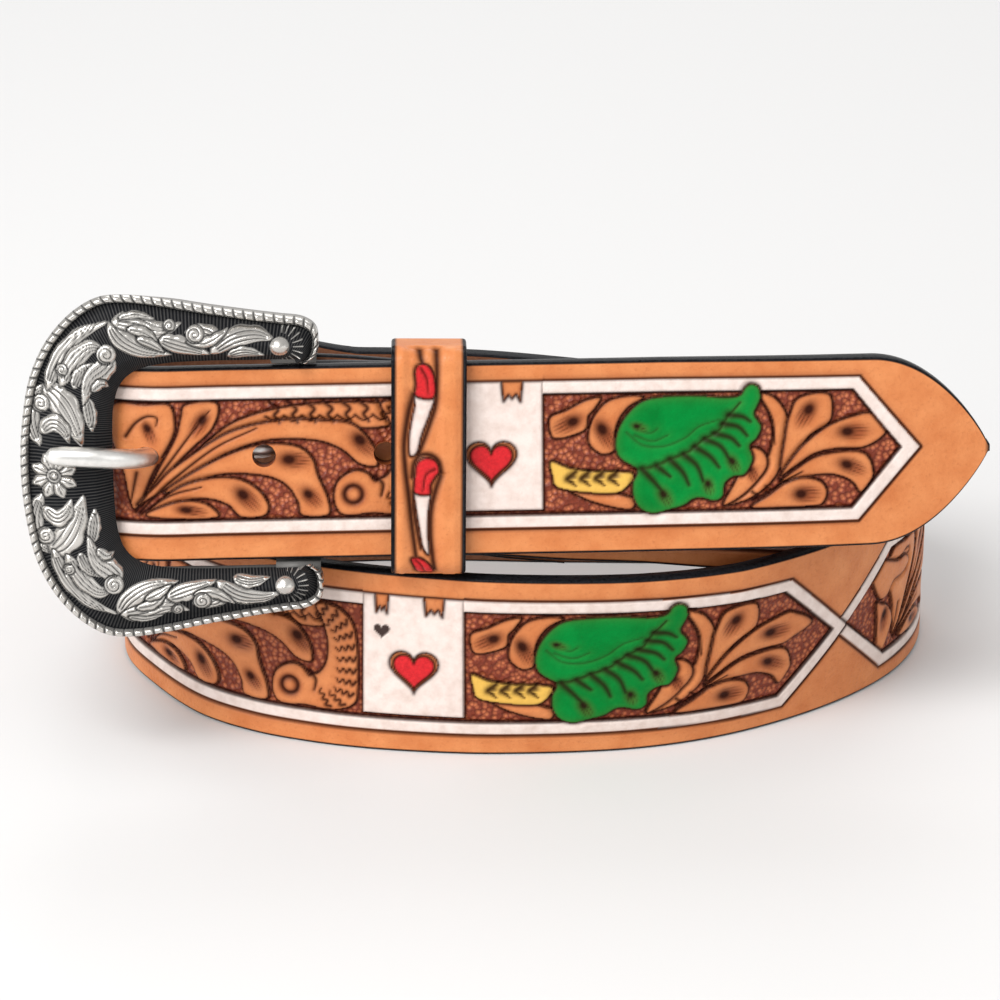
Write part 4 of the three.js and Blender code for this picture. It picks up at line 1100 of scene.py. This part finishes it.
LEATHER = leather_material("tooled_leather")
KEEPER_LEATHER = leather_material("keeper_leather")
CAST = metal_material("antique_metal", colour(214, 210, 204), colour(14, 16, 20), 0.24, 500)
STEEL = metal_material("satin_steel", colour(246, 244, 240), colour(90, 90, 92), 0.36, 700)

for piece in strap_pieces:
    piece.data.materials.append(LEATHER)
    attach(piece, "root")
    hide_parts("strap")


# The keeper
def keeper_loop():
    """Points round the keeper's outer surface: into the coil and up, with the way that faces outward."""
    left, right = -KEEPER_EASE - KEEPER_WALL, START_BACK + 2 * LAYER_GAP + KEEPER_WALL
    low, high = -KEEPER_HEADROOM - KEEPER_WALL, STRAP_WIDTH + KEEPER_HEADROOM + KEEPER_WALL
    c = KEEPER_CORNER
    rows = []

    def straight(a, b, normal, step):
        for t in np.arange(0, 1, step / max(step, np.hypot(*(np.array(b) - a)))):
            rows.append((*(np.array(a) + (np.array(b) - a) * t), *normal))

    def corner(x, y, first):
        for a in np.radians(np.arange(first, first + 90, 7.5)):
            rows.append((x + c * math.cos(a), y + c * math.sin(a), math.cos(a), math.sin(a)))

    straight((left, high - c), (left, low + c), (-1, 0), 0.3)
    corner(left + c, low + c, 180)
    straight((left + c, low), (right - c, low), (0, -1), 0.6)
    corner(right - c, low + c, 270)
    straight((right, low + c), (right, high - c), (1, 0), 1.2)
    corner(right - c, high - c, 0)
    straight((right - c, high), (left + c, high), (0, 1), 0.6)
    corner(left + c, high - c, 90)
    return np.array(rows)


# On the keeper's face: across it, and up from the strap's lower edge
VINE_CUTS = [
    [(-2.9, 32.6), (-3.9, 28.8), (-4.7, 23.1), (-4.5, 18.3), (-3.8, 12.5), (-3.2, 6.8), (-2.4, 0.6)],
    [(1.4, 41.4), (1.5, 38.4), (1.5, 35.5), (1.3, 30.7), (0.4, 27.4), (-1.2, 22.8), (-2, 20.8)],
    [(-1.8, 41.4), (-1.5, 39.6), (-1.1, 38.3)],
    [(2.4, 17.2), (1.9, 19.4), (0.4, 20.6), (-1.5, 20.6), (-2.8, 19), (-3.2, 16.2)],
    [(2.3, 16.6), (1.3, 13.5), (0.5, 9.7), (0.4, 4.9), (0.8, 0.6), (1.2, -2.8)],
    [(-2.9, 13.4), (-2.8, 10), (-2.2, 6), (-1.4, 2.2)],
]
VINE_WHITES = [
    [(-2.5, 32.4), (0.9, 32.1), (0.2, 28.8), (-1.4, 24.5), (-2.2, 21.2), (-3.6, 20.6), (-3.8, 24), (-3.2,
                                                                                                    27.9),
     (-2.7, 30.2)],
    [(-2.6, 13.3), (0.2, 13.1), (0, 9.7), (-0.1, 5.4), (0.1, 1.1), (-1.1, 2.5), (-1.8, 6.3), (-2.4, 10.1)],
]
VINE_REDS = [
    [(-2.1, 38.3), (-2.7, 36.9), (-2.5, 34.6), (-2.5, 32.2), (0.9, 31.9), (1.2, 35), (0.5, 37.4), (-0.7,
                                                                                                   38.5)],
    [(-2.6, 17.1), (-2.3, 18.9), (-1.1, 20), (0.5, 20), (1.7, 19.1), (2, 17.3), (1.3, 16.3), (0.4, 14.7),
     (0.2, 12.9), (-2.6, 13.1), (-2.8, 15)],
    [(-3.3, 0.1), (-2, 0.4), (-0.5, -0.4), (0.6, -1.9), (0.9, -3.4), (-1.9, -3.4), (-2.8, -1.7)],
]
VINE_FOLDS = [
    [(-1.5, 37.6), (-0.4, 35.6), (-0.1, 32.6)], [(1.2, 17.9), (-0.5, 16.7), (-1.1, 13.4)],
    [(-2.4, -0.2), (-1.4, -1.4), (-0.7, -3.2)],
]
# The face swells either side of the vine: across, how deep
KEEPER_SWELL = [(-6.6, -0.5), (-5.6, -0.05), (-4.9, 0), (-3.7, -0.4), (1.5, -0.4), (3, -0.02), (5, 0), (6.6,
                                                                                                        -0.5)]


def carve_keeper(across, up):
    carving = Carving(across, up)
    swell = np.array(KEEPER_SWELL)
    for path in VINE_CUTS:
        carving.knife(path, width=0.56, depth=0.5, taper=0.2)
    for points in VINE_WHITES:
        carving.motif(points, colour="white", bevel=0.4, reach=0.8)
    for points in VINE_REDS:
        carving.motif(points, colour="red", bevel=0.45, reach=0.8)
    for path in VINE_FOLDS:
        carving.knife(path, width=0.3, dark=0.75)
    carving.depth += np.interp(across, swell[:, 0], swell[:, 1])
    return carving


def make_keeper():
    loop = keeper_loop()
    bevel = 0.6
    half = KEEPER_WIDTH / 2
    lines = np.concatenate([np.arange(-half + bevel, half - bevel, 0.3), [half - bevel]])
    count, width = len(loop), len(lines)
    face = loop[:, 2] < -0.05
    across = np.repeat(lines[None, :], count, 0)
    up = np.repeat(loop[:, 1:2], width, 1)
    carving = carve_keeper(across.ravel(), up.ravel())
    on_face = np.repeat(face[:, None], width, 1).ravel()
    depth = np.where(on_face, np.minimum(0, carving.depth), 0)
    rings = []
    levels = [(x, 0.0) for x in lines]
    profile = levels + [(half - 0.18, -0.18), (half, -bevel), (half, -KEEPER_WALL + bevel),
                        (half - bevel, -KEEPER_WALL), (0, -KEEPER_WALL), (-half + bevel, -KEEPER_WALL),
                        (-half, -KEEPER_WALL + bevel), (-half, -bevel), (-half + 0.18, -0.18)]
    points, values = [], {m: [] for m in Carving.MASKS}
    flesh = []
    for j, (x, lift) in enumerate(profile):
        sunk = depth.reshape(count, width)[:, j] if j < width else np.zeros(count)
        into = loop[:, 0] + loop[:, 2] * (lift + sunk)
        rise = loop[:, 1] + loop[:, 3] * (lift + sunk)
        points.append(np.stack([np.full(count, x), into, rise], 1))
        for m in Carving.MASKS:
            if j < width and m != "edge":
                values[m].append(np.where(face, getattr(carving, m).reshape(count, width)[:, j], 0))
            elif m == "edge":
                near = np.clip(2.2 - (half - abs(x)) / 0.55, 0, 1) if lift > -KEEPER_WALL + 0.1 else 0.0
                values[m].append(np.full(count, near))
            else:
                values[m].append(np.zeros(count))
        flesh.append(np.full(count, 1.0 if lift < -KEEPER_WALL + 0.1 else 0.0))
    rows = len(profile)
    points = np.concatenate(points)
    index = np.arange(rows * count).reshape(rows, count)
    nxt = np.roll(index, -1, axis=0)
    faces = np.stack([index, np.roll(index, -1, 1), np.roll(nxt, -1, 1), nxt], -1).reshape(-1, 4)
    turn = turned("Y", KEEPER_TILT) @ turned("Z", -KEEPER_YAW)
    local = points @ turn.T + [KEEPER_PLACE, 0, 0]
    masks = {m: np.concatenate(v) for m, v in values.items()}
    masks["flesh"] = np.concatenate(flesh)
    return add_object("keeper_loop", to_front(local), faces, masks)


keeper = make_keeper()
keeper.data.materials.append(KEEPER_LEATHER)
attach(keeper, "root")
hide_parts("keeper")

# The buckle. Rows down the upper arm's end, round the left: shares of the frame's length and half height,
# and, for the inner edge, of its length and of the half opening below its top.
FRAME_ROWS = [
    (-0.043, 0.588, 0, 0), (-0.077, 0.64, 0, 0), (-0.084, 0.723, 0.003, 0), (-0.074, 0.797, 0.009, 0),
    (-0.034, 0.845, 0.026, 0), (0.045, 0.866, 0.072, 0), (0.129, 0.886, 0.148, 0), (0.288, 0.928, 0.29, 0),
    (0.443, 0.976, 0.42, 0.015), (0.553, 1, 0.5, 0.055), (0.64, 0.99, 0.537, 0.1),
    (0.717, 0.922, 0.562, 0.155), (0.788, 0.808, 0.583, 0.235), (0.84, 0.678, 0.595, 0.33),
    (0.881, 0.508, 0.604, 0.45), (0.906, 0.285, 0.608, 0.63), (0.916, 0.1, WINDOW_SHARE, 0.87),
]
FRAME_MIDDLE = STRAP_WIDTH / 2
FRAME_CROWN = 3.4
FRAME_BACK, FRAME_BACK_LEFT = 2.0, -LAYER_GAP
BACK_LEFT_SHARE, BACK_ARMS_SHARE = 0.54, 0.35
ROPE_WIDTH = 1.6
ROPE_PROUD = 1.9
ROPE_PITCH = 1.95
# The casting's section past the rope: share of the way to the inner edge, how proud as a share of the crown
CAST_SECTION = [(0, 0.2), (0.09, 0.26), (0.33, 0.78), (0.55, 0.95), (0.8, 0.76), (0.93, 0.4), (1, 0.12)]
# Leaves of the upper half, from the frame's middle: points down the middle, and the width
SPRIGS = [
    ([(-48.7, 4.6), (-50.1, 9.5), (-49.3, 14.4), (-46, 17)], 2.2),
    ([(-47.6, 16.4), (-44.6, 13.6), (-42.3, 9.6), (-40.6, 4.6)], 3.7),
    ([(-48.6, 7.2), (-46.2, 9.2), (-44.2, 8.2), (-43, 5.4)], 2.3),
    ([(-39.4, 14.4), (-38.9, 10.6), (-38.6, 7.4)], 1.7),
    ([(-47, 15.6), (-44.8, 20.9), (-40.8, 25.9), (-34.6, 28.9)], 2.1),
    ([(-44.4, 16.4), (-41.8, 20.9), (-38.6, 23.8), (-35.4, 23.6)], 2.4),
    ([(-41.8, 16), (-40.4, 19), (-37.8, 21)], 1.5),
    ([(-33.8, 21.8), (-36.2, 19.7), (-38.6, 17.6), (-40.2, 12.8)], 2.8),
    ([(-38.4, 15.4), (-36.6, 16.8), (-35.2, 16.2)], 1.3),
    ([(-34.9, 28.6), (-32.6, 25.4), (-28.6, 23.1), (-23, 22.2)], 2.5),
    ([(-34.4, 28.9), (-29.9, 28.4), (-25.3, 26.9), (-21, 28.3)], 2.7),
    ([(-31.4, 27.4), (-28, 26.6), (-25.6, 24.9)], 1.3),
    ([(-25.4, 25.4), (-22.6, 24.4), (-19.4, 23.4), (-15.6, 22.1)], 2.4),
    ([(-20.6, 26.6), (-16.4, 26.2), (-14, 24.2), (-10.2, 22.7)], 2.2),
    ([(-15.8, 22.3), (-11.4, 25.1), (-7, 25.8), (-3.4, 24.8)], 2.5),
    ([(-12.6, 21.7), (-9.2, 22.5), (-5.4, 21.8)], 1.6),
    ([(-20.2, 24.8), (-16.8, 24.4), (-14.2, 25.6), (-12.2, 27.2)], 1.4),
    ([(-29.6, 25.6), (-26.8, 24.4), (-24.4, 22.8)], 1.2), ([(-33, 29.4), (-29.6, 29.9), (-26, 29)], 0.9),
]
# Little scrolls: centre and radius
SCROLLS = [((-48.3, 13), 1.7), (((-35.4, 22.6)), 1.9), ((-18.6, 26.2), 1.7), ((-44, 19.6), 1.1),
           ((-23.4, 27.9), 1.1)]
BEAD = (-2.6, 23.5)
BEAD_RADIUS = 1.9
BUCKLE_FLOWER = (-46.2, -1.0)
PETAL_COUNT = 8
PETAL_REACH = 4.7
BEAD_LIFT = 0.9
LEAF_LIFT = 0.7


class Casting:
    """Lift and blackening of the cast face at places on it."""

    def __init__(self, x, z):
        self.x = x
        self.z = z
        self.lift = np.zeros(len(x))
        self.recess_and_shade = np.ones(len(x))

    def near(self, points, margin):
        low = np.min(points, axis=0) - margin
        high = np.max(points, axis=0) + margin
        return np.nonzero((self.x > low[0]) & (self.x < high[0]) & (self.z > low[1]) & (self.z < high[1]))[0]

    def raised(self, outline, lift=LEAF_LIFT, dome=0.35):
        idx = self.near(outline, 0.6)
        if not len(idx):
            return
        distance = loop_distance(outline, self.x[idx], self.z[idx])
        ins = idx[distance < 0]
        away = idx[distance >= 0]
        din, dout = -distance[distance < 0], distance[distance >= 0]
        self.lift[ins] = lift * (1 - np.exp(-din / dome))
        self.recess_and_shade[ins] = 0.95 * np.exp(-((din / 0.13) ** 2))
        moat = np.clip(1 - dout / 0.38, 0, 1)
        self.lift[away] *= 1 - moat
        self.recess_and_shade[away] = np.maximum(self.recess_and_shade[away], moat ** 0.5)

    def engraved(self, path, width=0.17, depth=0.3):
        idx = self.near(path, 0.6)
        if not len(idx):
            return
        distance, along = path_distance(path, self.x[idx], self.z[idx])
        line = np.exp(-((distance / (width * (1.15 - 0.6 * along))) ** 2))
        self.lift[idx] -= depth * line
        self.recess_and_shade[idx] = np.maximum(self.recess_and_shade[idx], 0.95 * line)


def sprig(casting, points, width, flip):
    """A pointed leaf with lobes on its outer side and lines engraved along it."""
    middle = smooth_path([(x, z * flip) for x, z in points], steps=9)
    count = len(middle)
    share = np.linspace(0, 1, count)
    way = np.gradient(middle, axis=0)
    side = unit(np.stack([-way[:, 1], way[:, 0]], 1)) * flip
    half = 1.4 * width / 2 * np.sin(np.pi * share ** 0.75) ** 0.8 + 0.05
    lobes = half * (1 + 0.22 * np.abs(np.sin(share * np.pi * 3.5)))
    left = middle + side * lobes[:, None]
    right = middle - side * (half * 0.95)[:, None]
    casting.raised(np.vstack([left, right[::-1]]))
    inner = slice(int(count * 0.12), int(count * 0.88))
    for offset in (-0.42, 0.05, 0.5):
        if width > 1.4 or offset == 0.05:
            casting.engraved((middle + side * (half * offset)[:, None])[inner])


def scroll(casting, centre, radius, flip):
    turn = np.linspace(0, 2 * np.pi, 26, endpoint=False)
    x, z = centre[0], centre[1] * flip
    casting.raised(np.stack([x + radius * np.cos(turn), z + radius * np.sin(turn)], 1), dome=0.45)
    wind = np.linspace(0.4, 3.6 * np.pi, 40)
    reach = radius * 0.88 * (wind / wind[-1])
    casting.engraved(np.stack([x + reach * np.cos(wind), z + flip * reach * np.sin(wind)], 1)[::-1],
                     width=0.15)


def petal_flower(casting):
    cx, cz = BUCKLE_FLOWER
    for i in range(PETAL_COUNT):
        angle = (i + 0.5) * 2 * math.pi / PETAL_COUNT
        c, s = math.cos(angle), math.sin(angle)
        shape = [(0.9, 0.0), (2, 0.85), (3.2, 1.2), (4, 0.75), (PETAL_REACH, 0), (4, -0.75), (3.2, -1.2),
                 (2, -0.85)]
        casting.raised(smooth_loop([(cx + r * c - t * s, cz + r * s + t * c) for r, t in shape], 5))
        casting.engraved(np.array([(cx + r * c, cz + r * s) for r in (3.8, 2.8, 1.4)]), width=0.16)
    turn = np.linspace(0, 2 * np.pi, 26, endpoint=False)
    for radius, lift in ((1.35, 0.75), (0.75, BEAD_LIFT)):
        casting.raised(np.stack([cx + radius * np.cos(turn), cz + radius * np.sin(turn)], 1), lift=lift)


FLUTE_ANGLES = range(-80, 81, 16)
FLUTE_START, FLUTE_END = 2.5, 4.6


def flutes(casting, flip):
    """Fine bright rays round an arm's end, beyond the bead."""
    for degrees in FLUTE_ANGLES:
        c, s = cosine(degrees), sine(degrees)
        ray = [(FLUTE_START, -0.12), (FLUTE_END, -0.2), (FLUTE_END, 0.2), (FLUTE_START, 0.12)]
        casting.raised(np.array([(BEAD[0] + r * c - t * s, (BEAD[1] + r * s + t * c) * flip) for r,
                                 t in ray]),
                       lift=0.35, dome=0.1)


def make_buckle():
    upper = np.array(FRAME_ROWS)
    outer = np.stack([-upper[:, 0] * FRAME_LENGTH, upper[:, 1] * FRAME_HEIGHT / 2], 1)
    inner = np.stack([-upper[:, 2] * FRAME_LENGTH, FRAME_INSIDE / 2 * (1 - upper[:, 3])], 1)
    mirror = np.array([1, -1])
    outer = Spline(np.vstack([outer, outer[::-1] * mirror]))
    inner = Spline(np.vstack([inner, inner[::-1] * mirror]))
    fine = np.linspace(0, 1, 3001)
    walked = np.concatenate([[0], np.cumsum(np.linalg.norm(np.diff(outer.place(fine), axis=0), axis=1))])
    count = 1000
    run = np.linspace(0, walked[-1], count)
    share = np.interp(run, walked, fine)
    rim, lip = outer.place(share), inner.place(share)
    width = np.linalg.norm(lip - rim, axis=1)
    inward = (lip - rim) / width[:, None]
    rope = np.minimum(ROPE_WIDTH, width * 0.4)
    rope_lines = np.linspace(0, 1, 13)
    band_lines = np.linspace(0, 1, 62)[1:]
    reach = np.concatenate([rope[:, None] * rope_lines, rope[:, None] + (width - rope)[:,
                                                                                       None] * band_lines], 1)
    grid = rim[:, None, :] + inward[:, None, :] * reach[:, :, None]
    columns = grid.shape[1]
    x, z = grid[..., 0].ravel(), grid[..., 1].ravel()
    cast = Casting(x, z)
    for flip in (1, -1):
        for points, wide in SPRIGS:
            sprig(cast, points, wide, flip)
        for centre, radius in SCROLLS:
            scroll(cast, centre, radius, flip)
        turn = np.linspace(0, 2 * np.pi, 26, endpoint=False)
        bead = np.stack([BEAD[0] + BEAD_RADIUS * np.cos(turn), BEAD[1] * flip + BEAD_RADIUS * np.sin(turn)],
                        1)
        cast.raised(bead, lift=1.1, dome=0.8)
    for flip in (1, -1):
        flutes(cast, flip)
    petal_flower(cast)
    lift = cast.lift.reshape(count, columns)
    recess_and_shade = cast.recess_and_shade.reshape(count, columns)
    within = np.clip((reach - rope[:, None]) / (width - rope)[:, None], 0, 1)
    section = np.array(CAST_SECTION)
    proud = np.interp(within, section[:, 0], section[:, 1]) * FRAME_CROWN
    # The dark channels either side of the leaves are ribbed across.
    ribs = 0.5 + 0.5 * np.cos(run[:, None] * 2 * np.pi / 0.7)
    channel = recess_and_shade > 0.9
    proud = proud + lift + np.where(channel, 0.12 * ribs - 0.1, 0)
    recess_and_shade = np.where(channel, 1 - 0.1 * ribs ** 4, recess_and_shade)
    # The rope: a rounded rim, notched aslant.
    in_rope = reach <= rope[:, None] * 1.0001
    round_share = np.clip(reach / rope[:, None], 0, 1)
    phase = ((run[:, None] + 0.35 * reach) / ROPE_PITCH) % 1
    notch = np.exp(-(((phase - 0.5) / 0.13) ** 2))
    rim_proud = ROPE_PROUD * (0.25 + 0.75 * np.sqrt(np.clip(4 * round_share * (1 - round_share), 0, 1)))
    proud = np.where(in_rope, rim_proud - 0.55 * notch * np.sin(np.pi * round_share) ** 0.5, proud)
    dark_feet = np.clip((round_share - 0.8) / 0.2, 0, 1)
    recess_and_shade = np.where(in_rope, np.maximum(notch, dark_feet), recess_and_shade)
    deep = np.clip((rim[:, 0] + BACK_LEFT_SHARE * FRAME_LENGTH)
                   / ((BACK_LEFT_SHARE - BACK_ARMS_SHARE) * FRAME_LENGTH), 0, 1)
    deep = deep * deep * (3 - 2 * deep)
    back = FRAME_BACK_LEFT + (FRAME_BACK - FRAME_BACK_LEFT) * deep
    front = np.stack([grid[..., 0], -proud, grid[..., 1] + FRAME_MIDDLE], -1)
    rims = []
    for edge, level in ((grid[:, -1], 0.5), (grid[:, -1], 0), (grid[:, 0], 0), (grid[:, 0], 0.5)):
        y = back + (-0.4 - back) * level
        rims.append(np.stack([edge[:, 0], y, edge[:, 1] + FRAME_MIDDLE], -1)[:, None])
    loops = np.concatenate([front] + rims, 1)
    # The frame's walls are darkened too, most on the window's inner walls: painted shade.
    shade = np.concatenate([recess_and_shade, np.tile([0.8, 0.75, 0.5, 0.45], (count, 1))], 1)
    ring = loops.shape[1]
    index = np.arange(count * ring).reshape(count, ring)
    nxt = np.roll(index, -1, axis=1)
    faces = np.stack([index[:-1], nxt[:-1], nxt[1:], index[1:]], -1).reshape(-1, 4)
    points = loops.reshape(-1, 3)
    shades = shade.ravel()
    # Flat ends to the two arms
    faces = list(faces)
    faces.append(index[0, ::-1])
    faces.append(index[-1])
    lugs = [lug(points, faces, side) for side in (1, -1)]
    points = np.concatenate([points] + [p for p in lugs])
    # The lugs behind the arms' ends are painted dark: painted shade.
    shades = np.concatenate([shades, np.full(len(points) - len(shades), 0.8)])
    return add_object("buckle_casting", to_front(points), faces, {"recess_and_shade": shades})


LUG_THICKNESS = 1.6
LUG_WALL = 1.9


def lug(points, faces, side):
    """A rounded plate behind an arm's end, which holds the bar."""
    reach = BAR_DIAMETER / 2 + BAR_PLAY + LUG_WALL
    middle = FRAME_MIDDLE + side * (STRAP_WIDTH / 2 + (FRAME_INSIDE - STRAP_WIDTH) / 4 + LUG_THICKNESS / 2)
    start = len(points) + (0 if side > 0 else 56)
    turn = np.linspace(0, np.pi, 26)
    outline = [(reach * math.cos(a), BAR_Y + reach * math.sin(a)) for a in turn]
    outline += [(-reach, -0.4), (reach, -0.4)]
    rows = []
    for z in (middle - LUG_THICKNESS / 2, middle + LUG_THICKNESS / 2):
        rows += [(x, y, z) for x, y in outline]
    size = len(outline)
    for i in range(size):
        j = (i + 1) % size
        faces.append(np.array([start + i, start + j, start + size + j, start + size + i]))
    faces.append(np.arange(start + size - 1, start - 1, -1))
    faces.append(np.arange(start + size, start + 2 * size))
    return np.array(rows)


buckle = make_buckle()
buckle.data.materials.append(CAST)
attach(buckle, "root")
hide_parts("buckle_frame")

# The prong
PRONG_REACH = 47.3
PRONG_BACK = 5.9
PRONG_TOP = -6.45
PRONG_SIDES = 28
PRONG_PATH = [
    (-3.1, PRONG_BACK + 0.2, 0, 0.55), (-6.5, PRONG_BACK, 0, 0.9), (-14, PRONG_BACK, 0, 1),
    (-BAR_TO_HOLE + 8.6, PRONG_BACK - 0.1, 0, 1), (-BAR_TO_HOLE + 5.2, PRONG_BACK - 1.3, 0, 0.97),
    (-BAR_TO_HOLE + 2.2, 1.8, 0.1, 0.97), (-BAR_TO_HOLE - 0.4, -2.3, 0.5, 0.97),
    (-BAR_TO_HOLE - 4.4, PRONG_TOP + 1.1, 1.2, 1), (-BAR_TO_HOLE - 9, PRONG_TOP, 1.8, 1),
    (-PRONG_REACH + 3.2, PRONG_TOP + 0.2, 2.1, 0.97), (-PRONG_REACH + 0.9, PRONG_TOP + 0.5, 2.15, 0.8),
    (-PRONG_REACH, PRONG_TOP + 0.6, 2.15, 0.35),
]
RING_WIDTH = 5.0


def make_prong():
    rows = np.array(PRONG_PATH)
    path = Spline(rows[:, :3])
    share = np.linspace(0, 1, 130)
    middle, way = path.place(share), path.way(share)
    thick = np.interp(share * (len(rows) - 1), np.arange(len(rows)), rows[:, 3]) * PRONG_DIAMETER / 2
    across = unit(np.cross(way, [0.0, 0.0, 1.0]))
    up = np.cross(across, way)
    turn = np.arange(PRONG_SIDES) / PRONG_SIDES * 2 * np.pi
    tube = (middle[:, None] + across[:, None] * (thick[:, None] * np.cos(turn))[..., None]
            + up[:, None] * (thick[:, None] * np.sin(turn))[..., None])
    tube[..., 2] += HOLE_LINE
    index = np.arange(tube.shape[0] * PRONG_SIDES).reshape(-1, PRONG_SIDES)
    nxt = np.roll(index, -1, 1)
    faces = list(np.stack([index[:-1], index[1:], nxt[1:], nxt[:-1]], -1).reshape(-1, 4))
    faces.append(index[0])
    faces.append(index[-1][::-1])
    points = tube.reshape(-1, 3)
    # The ring that turns on the bar
    small = BAR_DIAMETER / 2 + BAR_PLAY
    large = small + PRONG_RING_WALL
    section = [(small, -RING_WIDTH / 2), (large - 0.3, -RING_WIDTH / 2), (large, -RING_WIDTH / 2 + 0.3),
               (large, RING_WIDTH / 2 - 0.3), (large - 0.3, RING_WIDTH / 2), (small, RING_WIDTH / 2)]
    around = np.arange(48) / 48 * 2 * np.pi
    ring = np.array([[(r * math.cos(a), BAR_Y + r * math.sin(a), HOLE_LINE + z) for r, z in section]
                     for a in around])
    index = np.arange(48 * len(section)).reshape(48, -1) + len(points)
    down, side = np.roll(index, -1, 0), np.roll(index, -1, 1)
    faces += list(np.stack([index, side, np.roll(side, -1, 0), down], -1).reshape(-1, 4))
    points = np.concatenate([points, ring.reshape(-1, 3)])
    return add_object("prong_smooth", to_front(points), faces, {"recess_and_shade": np.zeros(len(points))})


prong = make_prong()
prong.data.materials.append(STEEL)
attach(prong, "root")
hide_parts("prong")

for node in ("buckle_bar", "screw_1", "screw_2"):
    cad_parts[node].data.materials.clear()
    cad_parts[node].data.materials.append(STEEL)

# Floor, light and camera
bpy.ops.mesh.primitive_plane_add(size=6, location=(0, 0, 0))
floor = bpy.context.object
floor.name = "floor"
ground = Nodes("floor_white")
ground.shader.inputs["Base Color"].default_value = (0.7, 0.695, 0.69, 1)
ground.shader.inputs["Roughness"].default_value = 0.7
floor.data.materials.append(ground.material)

world = bpy.data.worlds.new("studio")
world.use_nodes = True
world.node_tree.nodes["Background"].inputs[0].default_value = (1, 1, 1, 1)
world.node_tree.nodes["Background"].inputs[1].default_value = 0.62
bpy.context.scene.world = world


def area_light(name, place, target, size, power):
    data = bpy.data.lights.new(name, "AREA")
    data.shape = "SQUARE"
    data.size = size
    data.energy = power
    lamp = bpy.data.objects.new(name, data)
    lamp.location = place
    lamp.rotation_euler = (Vector(target) - Vector(place)).to_track_quat("-Z", "Y").to_euler()
    bpy.context.scene.collection.objects.link(lamp)


# Name, place, what it faces, size and power
LIGHTS = (
    ("key", (-0.5, -0.65, 1.1), (-0.02, -0.03, 0.04), 0.6, 13),
    ("left", (-1.0, -0.6, 0.4), (-0.05, -0.03, 0.04), 0.7, 5),
    ("right", (0.8, -0.9, 0.6), (0, 0, 0.04), 0.9, 2),
    ("rear", (0.1, 0.9, 0.9), (0, 0, 0.04), 0.8, 4),
)
for light in LIGHTS:
    area_light(*light)

CAMERA_TARGET = Vector((-0.001445, -0.023378, 0.045))
CAMERA_DISTANCE = 0.8
CAMERA_TILT = 24
camera_data = bpy.data.cameras.new("view")
camera_data.sensor_width = 36
camera_data.lens = 145.44
camera = bpy.data.objects.new("view", camera_data)
camera.location = CAMERA_TARGET + Vector((0, -cosine(CAMERA_TILT), sine(CAMERA_TILT))) * CAMERA_DISTANCE
camera.rotation_euler = (math.radians(90 - CAMERA_TILT), 0, 0)
bpy.context.scene.collection.objects.link(camera)
bpy.context.scene.camera = camera
bpy.context.scene.view_settings.view_transform = "Standard"
